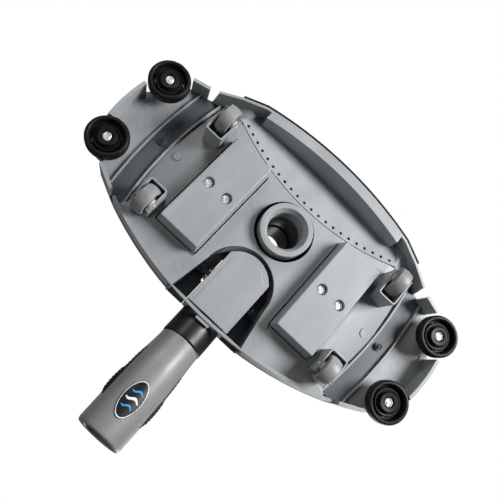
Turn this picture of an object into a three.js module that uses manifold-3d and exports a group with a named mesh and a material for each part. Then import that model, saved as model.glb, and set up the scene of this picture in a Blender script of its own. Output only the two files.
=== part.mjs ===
// Manual pool vacuum head: a weighted head on four floor rollers, with four bumper wheels on its ends,
// a swivelling hose connector and a hinged handle that takes a telescopic pole.
// Millimetres, +Z up. The origin is on the floor that the rollers stand on, in the middle of the area that the
// head and its lowered handle cover. The handle points to +Y, the suction lip faces -Y.

import * as THREE from "three";
import { mergeVertices } from "three/addons/utils/BufferGeometryUtils.js";
import Module from "manifold-3d";

const wasm = await Module();
wasm.setup();

// ---------------------------------------------------------------- driving dimensions

const ORIGIN_Y = 57.65; // y of the origin, in the head's own frame that all the sizes below are in
const GAP = 0.3; // between pieces that touch
const WALL = 3; // moulded wall
const WELD = 0.03; // corners closer than this are one corner

const PLATE_Z = 36.5; // underside of the floor plate above the floor
const RIM_Z = 27; // lower rim of the skirt
const EAVE_Z = 51.5; // the floor rises to this height where it meets the skirt
const WING_Z = EAVE_Z; // underside of the end wings
const PLATE_TOP = PLATE_Z + WALL;
const SKIRT_TOP = EAVE_Z + WALL;

const FRONT_Y = -123.2; // middle of the front skirt
const FRONT_R = 428; // its radius in plan
const LIP_X = 95; // half length of the thick suction lip
const LIP_WIDTH = 11.5;
const FRONT_ARC_X = 102;
const FRONT_SHOULDER = [126.6, -99.6];
const NOTCH_FRONT_RIM = [148.3, -86.3];
const NOTCH_FRONT_BASE = [152.7, -83.9];
const NOTCH_REAR = [144.8, 72];
const REAR_Y = 97.8;
const RIB_FRONT = [142.3, -84];
const RIB_MIDDLE = [147, -9];
const RIB_REAR = [136.8, 72];
const PLATEAU_X = 106; // the floor is level between these, and rises beyond

const WING_NOTCH_FRONT = [157.5, -82.5];
const WING_FRONT_END = [176, -77];
const WING_SIDE_FRONT = [207.7, -36.8];
const WING_SIDE_MIDDLE = [209.3, -9];
const WING_SIDE_REAR = [207, 15.8];
const WING_REAR_END = [177.4, 56.8];
const WING_NOTCH_REAR = [152.2, 68.8];
const WING_RIB_FRONT = [163.4, -77];
const WING_RIB_MIDDLE = [166.4, -9];
const WING_RIB_REAR = [159.6, 62];
const WING_WALL = 3.7;
const RIB_DROP = 3.5; // the ribs beside the channels hang this far below the eaves

const BUMPERS = [
  { name: "front", x: 191.5, y: -56.2 },
  { name: "rear", x: 190.8, y: 32.3 },
];
const BUMPER_R = 22;
const BUMPER_Z = 25; // underside of the bumper tyre
const BUMPER_THICK = 13;
const TYRE_INNER_R = 14.6;
const BUMPER_EAR_R = 15;

const SEAM_CENTRE_Y = -347; // the front plate's rear edge is an arc about this point
const SEAM_R = 287;
const HOLE_ROW_R = 281.6;
const HOLE_COUNT = 22;
const HOLE_STEP = THREE.MathUtils.degToRad(2.055);
const HOLE_R = 1.65;

const PORT = [0, -26]; // hose port
const PORT_HOLE_R = 32;
const COLLAR_R = 28.1;
const BORE_R = 19;
const HOSE_R = 19.05; // 1.5 inch hose cuff slides over this
const HOSE_BORE_R = 16.2;
const CONNECTOR_TOP = 112;
const PORT_TOP = 79; // the cover's round boss about the port
const CONNECTOR_LEAN = THREE.MathUtils.degToRad(8);

const ROLLERS = [
  { name: "front", y: -63.3, side: -1, closed: -39.5, open: -71 },
  { name: "rear", y: 54, side: 1, closed: 34.7, open: 62 },
];
const ROLLER_X = 118.8;
const ROLLER_R = 15.5;
const ROLLER_WIDTH = 13.4;
const ROLLER_Z = ROLLER_R;
const BRACKET_HALF = 10.6;
const BRACKET_WALL = 1.6;
const BRACKET_RIM = 10.5;
const AXLE_R = 2;

const COVER_X = [50.8, 102.2]; // weight cover at its base
const COVER_Y = [-61, 56];
const COVER_BOTTOM = PLATE_Z - 18;
const COVER_DRAFT = 2.2;
const COVER_SCREWS = [65.2, 88.5];
const COVER_SCREW_Y = -2.6;
const SCREW_HEAD_R = 4.5;
const SCREW_HOLE_R = 2.3;

const PIVOT = [54.5, 66]; // y and z of the handle's pivot
const DROOP = THREE.MathUtils.degToRad(13.4); // the handle hangs down until its end lies on the floor
const ARCH_HALF = 38.5;
const ARCH_TOP_Y = 10.5;
const STRIP_TOP = 31.8; // the rear rim crosses the arch below this height
const SLOT_HALF = 26.3; // the handle swings up through a slot of this half width in the roof over the arch
const SLOT_FRONT = 31;
const TONGUE_HALF = 25.8;
const TONGUE_Z = 34.5;
const CHEEK_INNER = 22.3;
const PIN_R = 3;
const PIN_HOLE_R = 3.3;
const TUBE_R = 22.4;
const TUBE_START = 44; // from the pivot along the handle
const SEAM_S = 75.5;
const SPIGOT_END = 102;
const SPIGOT_R = 18.6;
const SLEEVE_END = 186;
const POLE_BORE_R = 16.1; // 1.25 inch pole
const SLEEVE_R = 23.9;
const GRIP_S = [100, 158];
const GRIP_HALF = 8.5;
const GRIP_FLOOR_X = 21.3;
const BUTTON_S = [126, 155];
const BUTTON_MIDDLE = (BUTTON_S[0] + BUTTON_S[1]) / 2;
const BUTTON_HALF = 6;
const BUTTON_FLOOR_X = 17.6;
const BUTTON_TRAVEL = 2;
const SPRING_R = 2.6;
const SPRING_HEIGHT = 4.6;
const BADGE_S = 148;
const BADGE_HALF = [9.8, 20];
const CHANNEL_BOSS = [155.9, -10.3];

// The cover is a cap of this ellipsoid.
const DOME = { x: 330, y: 185, z: 62.5, cy: 8, cz: 16 };

// ---------------------------------------------------------------- materials

const finish = (color, roughness, metalness = 0) => ({ color, roughness, metalness });
const GREY = finish(0x9a9da1, 0.45);
const DARK_GREY = finish(0x6b7078, 0.5);
const BLACK = finish(0x141416, 0.4);
const RUBBER = finish(0x1b1b1d, 0.75);
const STEEL = finish(0xd0d2d4, 0.25, 1);
const ROLLER_GREY = finish(0x8e9093, 0.5);
const IRON = finish(0x55585c, 0.6, 1);

// ---------------------------------------------------------------- solids

function solid(geometry) {
  const bare = geometry.clone();
  for (const name of Object.keys(bare.attributes)) {
    if (name !== "position") bare.deleteAttribute(name);
  }
  const merged = mergeVertices(bare, 1e-4);
  return new wasm.Manifold(
    new wasm.Mesh({
      numProp: 3,
      vertProperties: new Float32Array(merged.attributes.position.array),
      triVerts: new Uint32Array(merged.index.array),
    }),
  );
}

// The shape's surface, with corners closer than WELD joined and the triangles that this flattens left out.
function geometryOf(shape) {
  const mesh = shape.getMesh();
  const corners = [];
  const kept = [];
  for (let i = 0; i < mesh.vertProperties.length; i += 3) {
    const corner = new THREE.Vector3().fromArray(mesh.vertProperties, i);
    const same = corners.findIndex((other) => other.distanceTo(corner) < WELD);
    kept.push(same < 0 ? corners.push(corner) - 1 : same);
  }
  const index = [];
  for (let i = 0; i < mesh.triVerts.length; i += 3) {
    const [a, b, c] = [0, 1, 2].map((k) => kept[mesh.triVerts[i + k]]);
    if (a !== b && b !== c && c !== a) index.push(a, b, c);
  }
  const geometry = new THREE.BufferGeometry().setFromPoints(corners);
  geometry.setIndex(index);
  return geometry;
}

const join = (...shapes) => shapes.reduce((a, b) => a.add(b));
const cut = (shape, ...tools) => tools.reduce((a, b) => a.subtract(b), shape);

function ccw(points) {
  const vectors = points.map(([x, y]) => new THREE.Vector2(x, y));
  return THREE.ShapeUtils.isClockWise(vectors) ? vectors.reverse() : vectors;
}

// A closed solid between two outlines with the same number of points, at heights z0 < z1.
function taper(lower, upper, z0, z1) {
  const bottom = ccw(lower);
  const top = ccw(upper);
  const count = bottom.length;
  const positions = [];
  bottom.forEach((p) => positions.push(p.x, p.y, z0));
  top.forEach((p) => positions.push(p.x, p.y, z1));
  const index = [];
  for (const [a, b, c] of THREE.ShapeUtils.triangulateShape(bottom, [])) {
    index.push(a, c, b);
  }
  for (const [a, b, c] of THREE.ShapeUtils.triangulateShape(top, [])) {
    index.push(count + a, count + b, count + c);
  }
  for (let i = 0; i < count; i += 1) {
    const j = (i + 1) % count;
    index.push(i, j, count + j, i, count + j, count + i);
  }
  const geometry = new THREE.BufferGeometry();
  geometry.setAttribute("position", new THREE.Float32BufferAttribute(positions, 3));
  geometry.setIndex(index);
  return solid(geometry);
}

const prism = (points, z0, z1) => taper(points, points, z0, z1);

// An outline in the YZ plane, extruded along X.
function sideProfile(points, x0, x1) {
  const shape = new THREE.Shape(ccw(points));
  const geometry = new THREE.ExtrudeGeometry(shape, { depth: x1 - x0, bevelEnabled: false });
  geometry.applyMatrix4(new THREE.Matrix4().set(0, 0, 1, x0, 1, 0, 0, 0, 0, 1, 0, 0, 0, 0, 0, 1));
  return solid(geometry);
}

function block(x0, x1, y0, y1, z0, z1) {
  const geometry = new THREE.BoxGeometry(x1 - x0, y1 - y0, z1 - z0);
  return solid(geometry.translate((x0 + x1) / 2, (y0 + y1) / 2, (z0 + z1) / 2));
}

function rod(r, z0, z1, x = 0, y = 0, segments = 24) {
  const geometry = new THREE.CylinderGeometry(r, r, z1 - z0, segments);
  return solid(geometry.rotateX(Math.PI / 2).translate(x, y, (z0 + z1) / 2));
}

// A turned solid from a closed profile of [radius, height] about Z.
function turned(profile, segments = 32) {
  const points = profile.map(([r, z]) => new THREE.Vector2(r, z));
  if (profile[0][0] > 0) points.push(points[0].clone());
  const geometry = new THREE.LatheGeometry(points, segments).rotateX(Math.PI / 2);
  const body = solid(geometry);
  return body.volume() > 0 ? body : solid(flipped(geometry));
}

function flipped(geometry) {
  const copy = geometry.clone();
  const index = copy.index.array;
  for (let i = 0; i < index.length; i += 3) {
    [index[i], index[i + 1]] = [index[i + 1], index[i]];
  }
  return copy;
}

const toDegrees = THREE.MathUtils.radToDeg;
const mirrorX = (shape) => shape.mirror([1, 0, 0]);
const alongX = (shape) => shape.rotate([0, 90, 0]);
const alongY = (shape) => shape.rotate([-90, 0, 0]);

// ---------------------------------------------------------------- outlines

function arc(cx, cy, r, from, to, steps) {
  return Array.from({ length: steps + 1 }, (_, i) => {
    const angle = from + ((to - from) * i) / steps;
    return [cx + r * Math.cos(angle), cy + r * Math.sin(angle)];
  });
}

// Points of the arc through three points, both ends included.
function arcThrough([ax, ay], [bx, by], [cx, cy], steps) {
  const d = 2 * (ax * (by - cy) + bx * (cy - ay) + cx * (ay - by));
  const a2 = ax * ax + ay * ay;
  const b2 = bx * bx + by * by;
  const c2 = cx * cx + cy * cy;
  const ux = (a2 * (by - cy) + b2 * (cy - ay) + c2 * (ay - by)) / d;
  const uy = (a2 * (cx - bx) + b2 * (ax - cx) + c2 * (bx - ax)) / d;
  const angle = (x, y) => Math.atan2(y - uy, x - ux);
  const from = angle(ax, ay);
  const turn = (to, base) => THREE.MathUtils.euclideanModulo(to - base + Math.PI, 2 * Math.PI) - Math.PI;
  const middle = from + turn(angle(bx, by), from);
  const to = middle + turn(angle(cx, cy), middle);
  return arc(ux, uy, Math.hypot(ax - ux, ay - uy), from, to, steps);
}

const mirrored = (points) => points.map(([x, y]) => [-x, y]).reverse();

// The line of points moved sideways, to its left for a positive distance.
function offset(points, distance) {
  return points.map(([x, y], i) => {
    const before = points[Math.max(i - 1, 0)];
    const after = points[Math.min(i + 1, points.length - 1)];
    const [dx, dy] = [after[0] - before[0], after[1] - before[1]];
    const length = Math.hypot(dx, dy);
    return [x - (dy / length) * distance, y + (dx / length) * distance];
  });
}

const band = (points, distance) => [...points, ...offset(points, distance).reverse()];

const frontArc = (r, halfX, steps) => {
  const half = Math.asin(halfX / r);
  return arc(0, FRONT_Y + FRONT_R, r, -Math.PI / 2 - half, -Math.PI / 2 + half, steps);
};

// The front skirt's outer line from the left notch to the right one.
function frontLine(end) {
  const [x, y] = FRONT_SHOULDER;
  const middle = frontArc(FRONT_R, FRONT_ARC_X, 10);
  return [[-end[0], end[1]], [-x, y], ...middle, FRONT_SHOULDER, end];
}

const rearLine = arcThrough(NOTCH_REAR, [0, REAR_Y], [-NOTCH_REAR[0], NOTCH_REAR[1]], 12);
const ribLine = arcThrough(RIB_FRONT, RIB_MIDDLE, RIB_REAR, 8);
const wingRibLine = arcThrough(WING_RIB_FRONT, WING_RIB_MIDDLE, WING_RIB_REAR, 8);
const wingSideLine = arcThrough(WING_SIDE_FRONT, WING_SIDE_MIDDLE, WING_SIDE_REAR, 6);

const plateOutline = [
  ...frontLine(NOTCH_FRONT_RIM),
  ...ribLine,
  ...rearLine,
  ...mirrored(ribLine),
];

function archOutline(grow, rearY) {
  const half = ARCH_HALF + grow;
  const top = arc(0, ARCH_TOP_Y + ARCH_HALF, half, -Math.PI, 0, 14);
  const widening = 0.16;
  const flare = half + widening * (rearY - ARCH_TOP_Y - ARCH_HALF);
  return [...top, [flare, rearY], [-flare, rearY]];
}

// ---------------------------------------------------------------- shells

// Everything under the dome, moved in by inset.
function domeSolid(inset) {
  const geometry = new THREE.SphereGeometry(1, 24, 14).rotateX(Math.PI / 2);
  geometry.scale(DOME.x - inset, DOME.y - inset, DOME.z - inset);
  return solid(geometry.translate(0, DOME.cy, DOME.cz));
}

// The floor's underside: level in the middle, rising to the eaves at the front and at both ends.
// All of it is moved down by drop.
function floorUnderside(drop, top) {
  const level = [
    ...frontArcAt(SEAM_CENTRE_Y, SEAM_R, PLATEAU_X, 8),
    [PLATEAU_X, 0],
    [PLATEAU_X, 60],
    ...rearLine,
    [-PLATEAU_X, 60],
    [-PLATEAU_X, 0],
  ];
  const eaves = [
    ...frontArcAt(SEAM_CENTRE_Y, SEAM_R - 42, 132, 8),
    [RIB_MIDDLE[0], RIB_MIDDLE[1]],
    [RIB_REAR[0], 60],
    ...rearLine,
    [-RIB_REAR[0], 60],
    [-RIB_MIDDLE[0], RIB_MIDDLE[1]],
  ];
  const slope = taper(level, eaves, PLATE_Z - drop, EAVE_Z - drop);
  return join(slope, prism(eaves, EAVE_Z - drop, top));
}

const frontArcAt = (cy, r, halfX, steps) => {
  const half = Math.asin(halfX / r);
  return arc(0, cy, r, Math.PI / 2 + half, Math.PI / 2 - half, steps);
};

function mainHousing() {
  const pan = cut(floorUnderside(0, SKIRT_TOP), floorUnderside(-WALL, 90)).intersect(
    prism(plateOutline, 20, 90),
  );
  const frontRim = band(frontLine(NOTCH_FRONT_RIM), WALL);
  const frontBase = band(frontLine(NOTCH_FRONT_BASE), WALL);
  const frontSkirt = taper(frontRim, frontBase, RIM_Z, SKIRT_TOP);
  const rearSkirt = prism(band(rearLine, WALL), RIM_Z, SKIRT_TOP);
  const ribs = [ribLine, mirrored(ribLine)].map((line) => {
    return prism(band(line, 2.2), EAVE_Z - RIB_DROP, SKIRT_TOP);
  });
  const shell = cut(
    join(pan, frontSkirt, rearSkirt, ...ribs, archWell()),
    prism(archOutline(0, 130), STRIP_TOP, SKIRT_TOP + 1),
    prism(archOutline(0, REAR_Y - WALL - 1), 20, STRIP_TOP + 1),
    rod(PORT_HOLE_R, PLATE_Z - 1, PLATE_TOP + 1, ...PORT, 36),
    prism(frontPlateOutline(0), PLATE_Z - 1, 90),
  );
  const tab = block(-8, 8, REAR_Y - 1.5, REAR_Y + 3.6, RIM_Z + 1.4, STRIP_TOP - 0.8);
  const bosses = [[-43.5, -36], [36, 43.5]].map(([x0, x1]) => pivotRod(6.5, x0, x1, 14));
  const coverHoles = [-1, 1].flatMap((side) =>
    COVER_SCREWS.map((x) => rod(SCREW_HOLE_R, PLATE_Z - 1, PLATE_TOP + 1, side * x, COVER_SCREW_Y, 12)),
  );
  return join(cut(join(shell, ...bosses), pivotRod(PIN_HOLE_R, -50, 50), ...coverHoles), tab);
}

// The wall round the arch and the roof over it, with the slot that the handle swings up through.
function archWell() {
  const wall = cut(prism(archOutline(2.5, 96), PLATE_Z, 90), prism(archOutline(0, 120), PLATE_Z - 1, 91));
  const roof = cut(
    prism(archOutline(1, 96), 60, 90),
    domeSolid(2.8),
    block(-SLOT_HALF, SLOT_HALF, SLOT_FRONT, 130, 50, 100),
    block(-SLOT_HALF - 2, SLOT_HALF + 2, PIVOT[0] - 9.5, PIVOT[0] + 9.5, 50, 100),
  );
  return join(wall, roof).intersect(domeSolid(0.5));
}

const pivotRod = (r, x0, x1, segments = 12) => alongX(rod(r, x0, x1, 0, 0, segments)).translate([0, ...PIVOT]);

// The front plate fills the floor between its arc seam and the front skirt.
function frontPlateOutline(shrink) {
  const seam = frontArcAt(SEAM_CENTRE_Y, SEAM_R - shrink, LIP_X + 19 - 2 * shrink, 16);
  const inner = frontArc(FRONT_R - WALL - 0.6 - shrink, LIP_X + 5 - 2 * shrink, 12);
  return [...seam, ...inner.reverse()];
}

// The plate slopes up from the seam to the front skirt as part of a cone about the seam's centre.
function frontPlate() {
  const reach = 52;
  const rise = ((EAVE_Z - PLATE_Z) * reach) / 45;
  const cone = turned(
    [
      [SEAM_R - reach, PLATE_Z + rise],
      [SEAM_R + 1, PLATE_Z],
      [SEAM_R + 1, PLATE_TOP],
      [SEAM_R - reach, PLATE_TOP + rise],
    ],
    80,
  ).translate([0, SEAM_CENTRE_Y, 0]);
  const plate = cone.intersect(prism(frontPlateOutline(GAP), 20, 90));
  const outer = frontArc(FRONT_R - WALL - 0.6 - GAP, LIP_X, 12);
  const rim = frontArc(FRONT_R - LIP_WIDTH, LIP_X, 12).reverse();
  const base = frontArc(FRONT_R - LIP_WIDTH - 4, LIP_X, 12).reverse();
  const lip = taper([...outer, ...rim], [...outer, ...base], RIM_Z + 0.6, EAVE_Z + 1);
  const holes = Array.from({ length: HOLE_COUNT }, (_, i) => {
    const angle = Math.PI / 2 + (i - (HOLE_COUNT - 1) / 2) * HOLE_STEP;
    const [x, y] = [HOLE_ROW_R * Math.cos(angle), SEAM_CENTRE_Y + HOLE_ROW_R * Math.sin(angle)];
    return rod(HOLE_R, PLATE_Z - 1, PLATE_TOP + 4, x, y, 6);
  });
  return cut(join(plate, lip), ...holes);
}

function bumperStrip() {
  const line = frontLine(NOTCH_FRONT_RIM).slice(1, -1);
  const inner = offset(line, -GAP);
  return prism([...inner, ...offset(line, -2.2).reverse()], RIM_Z - 0.3, RIM_Z + 13);
}

function coverOutline() {
  const half = [
    [0, FRONT_Y],
    ...frontLine(NOTCH_FRONT_BASE).filter(([x]) => x > 1),
    WING_NOTCH_FRONT,
    WING_FRONT_END,
    ...bumperEar(BUMPERS[0], WING_FRONT_END, WING_SIDE_FRONT),
    ...wingSideLine,
    ...bumperEar(BUMPERS[1], WING_SIDE_REAR, WING_REAR_END),
    WING_REAR_END,
    WING_NOTCH_REAR,
    ...rearLine.filter(([x]) => x > -1),
  ];
  return [...half, ...mirrored(half.slice(1, -1))];
}

// The part of a round ear about a bumper wheel that lies outside the line from one corner to the next.
function bumperEar(bumper, before, after) {
  const angle = ([x, y]) => Math.atan2(y - bumper.y, x - bumper.x);
  return arc(bumper.x, bumper.y, BUMPER_EAR_R, angle(before), angle(after), 6);
}

function topCover() {
  const outline = coverOutline();
  const inner = prism(shrunk(outline, 2.6), 30, 90).intersect(domeSolid(2.6));
  const shell = cut(prism(outline, SKIRT_TOP + GAP, 90).intersect(domeSolid(0)), inner);
  const channel = [...offset(ribLine, -2.6), ...offset(wingRibLine, 2.6).reverse()];
  const floors = [channel, mirrored(channel)].map((line) =>
    prism(line, EAVE_Z, SKIRT_TOP + 1).intersect(block(-200, 200, -80, 66, 0, 90)),
  );
  const bossAt = [-1, 1].map((side) => [side * CHANNEL_BOSS[0], CHANNEL_BOSS[1]]);
  const bosses = bossAt.map(([x, y]) => rod(4.2, EAVE_Z - 3, 68, x, y, 16));
  const bossHoles = bossAt.map(([x, y]) => rod(1.7, EAVE_Z - 5, 62, x, y, 10));
  const portBoss = rod(COLLAR_R + 6, 68, PORT_TOP, ...PORT, 36);
  return cut(
    join(shell, ...floors, ...bosses, portBoss),
    prism(archOutline(2.9, 130), 20, 90),
    rod(COLLAR_R + 1.5, 20, 90, ...PORT, 36),
    ...wingSkirtClearance(),
    ...bossHoles,
  );
}

function shrunk(points, distance) {
  const closed = ccw(points).map((p) => [p.x, p.y]);
  const count = closed.length;
  return closed.map(([x, y], i) => {
    const before = closed[(i + count - 1) % count];
    const after = closed[(i + 1) % count];
    const [dx, dy] = [after[0] - before[0], after[1] - before[1]];
    const length = Math.hypot(dx, dy);
    return [x - (dy / length) * distance, y + (dx / length) * distance];
  });
}

const wingSkirtLines = [
  [WING_NOTCH_FRONT, WING_FRONT_END],
  wingSideLine,
  [WING_REAR_END, WING_NOTCH_REAR],
];

function wingSkirtClearance() {
  const right = wingSkirtLines.map((line) => band(offset(line, -GAP), WING_WALL + 2 * GAP));
  return [...right, ...right.map(mirrored)].map((line) => prism(line, RIM_Z, SKIRT_TOP + GAP));
}

function wing() {
  const floorOutline = [
    WING_RIB_FRONT,
    WING_FRONT_END,
    ...bumperEar(BUMPERS[0], WING_FRONT_END, WING_SIDE_FRONT),
    ...wingSideLine,
    ...bumperEar(BUMPERS[1], WING_SIDE_REAR, WING_REAR_END),
    WING_REAR_END,
    WING_RIB_REAR,
    ...[...wingRibLine].reverse().slice(1, -1),
  ];
  const floor = prism(floorOutline, WING_Z, SKIRT_TOP);
  const skirts = wingSkirtLines.map((line) => prism(band(line, WING_WALL), RIM_Z, SKIRT_TOP));
  const rib = prism(band(wingRibLine, -1.8), WING_Z - RIB_DROP, SKIRT_TOP);
  const ledge = prism(band(offset(wingSideLine, WING_WALL - 0.5), 6.5), WING_Z - 2.5, WING_Z + 1);
  const sweep = BUMPERS.map((b) => rod(BUMPER_R + 1.2, 20, WING_Z - 3, b.x, b.y, 28));
  const posts = BUMPERS.map((b) => rod(9, BUMPER_Z + BUMPER_THICK + 1, WING_Z + 1, b.x, b.y, 16));
  const holes = BUMPERS.map((b) => rod(SCREW_HOLE_R, 20, SKIRT_TOP - 1, b.x, b.y, 12));
  return cut(join(cut(join(floor, ...skirts, rib, ledge), ...sweep), ...posts), ...holes);
}

// ---------------------------------------------------------------- weights and screws

function rectangle([x0, x1], [y0, y1], inset) {
  return [
    [x0 + inset, y0 + inset],
    [x1 - inset, y0 + inset],
    [x1 - inset, y1 - inset],
    [x0 + inset, y1 - inset],
  ];
}

function coverBox(inset, z0, z1) {
  const low = rectangle(COVER_X, COVER_Y, COVER_DRAFT + inset);
  const high = rectangle(COVER_X, COVER_Y, inset);
  return taper(low, high, z0, z1);
}

function weightCover() {
  const shell = cut(
    coverBox(0, COVER_BOTTOM, PLATE_Z - GAP),
    coverBox(WALL, COVER_BOTTOM + WALL, PLATE_Z + 1),
  );
  const wells = COVER_SCREWS.map((x) => rod(7, COVER_BOTTOM + 1, COVER_BOTTOM + 7, x, COVER_SCREW_Y, 14));
  const pockets = COVER_SCREWS.flatMap((x) => [
    rod(5.6, COVER_BOTTOM - 1, COVER_BOTTOM + 4.2, x, COVER_SCREW_Y, 14),
    rod(SCREW_HOLE_R, COVER_BOTTOM, PLATE_Z, x, COVER_SCREW_Y, 10),
  ]);
  return cut(join(shell, ...wells), ...pockets);
}

function ballastWeight() {
  const outline = rectangle(COVER_X, COVER_Y, COVER_DRAFT + WALL + 1.5);
  const slab = prism(outline, COVER_BOTTOM + 7.3, PLATE_Z - 1);
  return cut(slab, ...COVER_SCREWS.map((x) => rod(3, 0, 60, x, COVER_SCREW_Y, 14)));
}

// A pan-head screw with its head down, its flat underside of the head at z = 0.
function screw(length, headR = SCREW_HEAD_R, shankR = 2) {
  const profile = [
    [0, -2.1],
    [headR * 0.7, -2.1],
    [headR, -0.9],
    [headR, 0],
    [shankR, 0],
    [shankR, length],
    [0, length],
  ];
  const recess = [0, 90].map((a) => block(-2.1, 2.1, -0.45, 0.45, -3, -1.2).rotate([0, 0, a]));
  return cut(turned(profile, 8), ...recess);
}

// ---------------------------------------------------------------- wheels and rollers

// A U in plan, closed towards the middle of the head and open at the other end.
function bracketLoop(half, side, closed, open) {
  const corner = 3;
  const turn = side * (Math.PI / 2);
  return [
    [-half, open],
    ...arc(-half + corner, closed + side * corner, corner, Math.PI, Math.PI + turn, 3),
    ...arc(half - corner, closed + side * corner, corner, -turn, 0, 3),
    [half, open],
  ];
}

function rollerBracket({ side, closed, open }) {
  const outer = bracketLoop(BRACKET_HALF, side, closed, open);
  const wall = side * BRACKET_WALL;
  const inner = bracketLoop(BRACKET_HALF - BRACKET_WALL, side, closed + wall, open + side * 5);
  return cut(prism(outer, BRACKET_RIM, EAVE_Z), prism(inner, BRACKET_RIM - 1, PLATE_Z - 2.4));
}

function bracketWithHoles(roller, x) {
  const bores = alongX(rod(AXLE_R + 0.2, -20, 20, 0, 0, 8)).translate([0, roller.y, ROLLER_Z]);
  const room = floorUnderside(GAP, 90).translate([-x, 0, 0]);
  return cut(rollerBracket(roller), bores, room);
}

function floorRoller() {
  const w = ROLLER_WIDTH / 2;
  const r = ROLLER_R;
  return alongX(
    turned(
      [
        [AXLE_R + 0.2, -w],
        [r - 3.2, -w],
        [r - 0.8, 1.4 - w],
        [r, 0],
        [r - 0.8, w - 1.4],
        [r - 3.2, w],
        [AXLE_R + 0.2, w],
      ],
      20,
    ),
  );
}

function rollerAxle() {
  const end = BRACKET_HALF + 0.6;
  const near = ROLLER_WIDTH / 2 + 0.3;
  const far = BRACKET_HALF - BRACKET_WALL - 0.3;
  const collarR = 6.2;
  return alongX(
    turned(
      [
        [0, -end],
        [AXLE_R, -end],
        [AXLE_R, -far],
        [collarR, -far],
        [collarR, -near],
        [AXLE_R, -near],
        [AXLE_R, near],
        [collarR, near],
        [collarR, far],
        [AXLE_R, far],
        [AXLE_R, end],
        [0, end],
      ],
      8,
    ),
  );
}

// Bumper wheel pieces stand on z = 0 at their lower face.

function bumperTyre() {
  const h = BUMPER_THICK;
  const r = BUMPER_R;
  return turned(
    [
      [TYRE_INNER_R, 1.4],
      [r - 2.6, 0],
      [r, 3],
      [r, h - 3],
      [r - 2.6, h],
      [TYRE_INNER_R, h - 1.4],
    ],
    20,
  );
}

function bumperHub() {
  const h = BUMPER_THICK;
  const rim = TYRE_INNER_R - GAP;
  return turned(
    [
      [2.9, 3.4],
      [5.4, 3.4],
      [5.4, 1.6],
      [10, 1.6],
      [11.2, 4.6],
      [12.4, 1.4],
      [rim, 1.4],
      [rim, h - 1.4],
      [2.9, h - 1.4],
    ],
    14,
  );
}

// ---------------------------------------------------------------- hose swivel

function suctionCollar() {
  const low = PLATE_Z - 9.6;
  return turned(
    [
      [COLLAR_R - 0.8, low],
      [COLLAR_R, low + 0.8],
      [COLLAR_R, PLATE_TOP + 14],
      [BORE_R + 3.2, PLATE_TOP + 14],
      [BORE_R + 3.2, PLATE_TOP + 12],
      [BORE_R, PLATE_TOP + 12],
      [BORE_R, low + 6],
      [23, low],
    ],
    24,
  );
}

// The neck turns in the collar and leans back; it is built about the port's axis.
function swivelConnector() {
  const base = PLATE_TOP + 12.4;
  const flange = PORT_TOP + 4.2;
  const foot = turned(
    [
      [BORE_R, base],
      [BORE_R + 2.9, base],
      [BORE_R + 2.9, base + 2],
      [BORE_R + 5.5, base + 4],
      [BORE_R + 5.5, PORT_TOP - 4],
      [COLLAR_R - 0.4, PORT_TOP - 4],
      [COLLAR_R - 0.4, PORT_TOP - 0.4],
      [BORE_R + 5.4, PORT_TOP - 0.4],
      [BORE_R + 5.4, flange],
      [HOSE_R + 1.5, flange + 4],
      [BORE_R - 1, flange + 4],
      [BORE_R - 1, flange],
      [BORE_R, flange - 6],
    ],
    24,
  );
  const length = CONNECTOR_TOP - flange;
  const ridge = (z) => [
    [HOSE_R, z],
    [HOSE_R + 0.9, z + 0.6],
    [HOSE_R, z + 3],
  ];
  const neck = turned(
    [
      [HOSE_BORE_R, 0],
      [HOSE_R + 1.4, 0],
      [HOSE_R + 1.4, 7],
      [HOSE_R, 8],
      ...ridge(13),
      [HOSE_R - 1, length],
      [HOSE_BORE_R, length],
    ],
    24,
  )
    .rotate([-toDegrees(CONNECTOR_LEAN), 0, 0])
    .translate([0, 0, flange - 1]);
  const bore = rod(HOSE_BORE_R, -6, 10, 0, 0, 24)
    .rotate([-toDegrees(CONNECTOR_LEAN), 0, 0])
    .translate([0, 0, flange - 1]);
  return cut(join(foot, neck), bore);
}

// ---------------------------------------------------------------- handle

const atPivot = (shape) => shape.rotate([-toDegrees(DROOP), 0, 0]).translate([0, ...PIVOT]);

// The yoke stays level with the plate; its tail follows the handle's axis.
function handleYoke() {
  const nose = arcThrough([-TONGUE_HALF, 29], [0, 15.5], [TONGUE_HALF, 29], 10);
  const outline = [...nose, [TONGUE_HALF, 92], [-TONGUE_HALF, 92]];
  const plate = prism(outline, TONGUE_Z, TONGUE_Z + WALL);
  const rimInner = [...arcThrough([-22.8, 31], [0, 18.5], [22.8, 31], 10), [22.8, 95], [-22.8, 95]];
  const skirt = cut(prism(outline, TONGUE_Z, TONGUE_Z + 9), prism(rimInner, TONGUE_Z + WALL, 60));
  const cheekLine = [
    [30, TONGUE_Z + 1],
    [30, 44],
    [42, 68],
    [48, 73],
    [54.5, 75],
    [64, 73.5],
    [96, 68],
    [97, 62],
    [92, TONGUE_Z + 1],
  ];
  const cheeks = [
    sideProfile(cheekLine, -TONGUE_HALF, -CHEEK_INNER),
    sideProfile(cheekLine, CHEEK_INNER, TONGUE_HALF),
  ];
  const above = block(-40, 40, 0, 130, TONGUE_Z, 120);
  const shoulder = atPivot(alongY(rod(TUBE_R + 0.8, 36, TUBE_START - GAP, 0, 0, 24))).intersect(above);
  const plug = atPivot(alongY(rod(18.5, 38, 64)));
  const bore = atPivot(alongY(rod(15.5, 30, 70)));
  const bosses = [[-TONGUE_HALF, -20], [20, TONGUE_HALF]].map(([x0, x1]) => pivotRod(7, x0, x1, 14));
  const hollow = block(-CHEEK_INNER, CHEEK_INNER, 34, 86, TONGUE_Z + WALL, 60);
  const body = join(cut(join(shoulder, plug), bore, hollow), plate, skirt, ...cheeks, ...bosses);
  return cut(body, pivotRod(PIN_HOLE_R, -30, 30));
}

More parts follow.
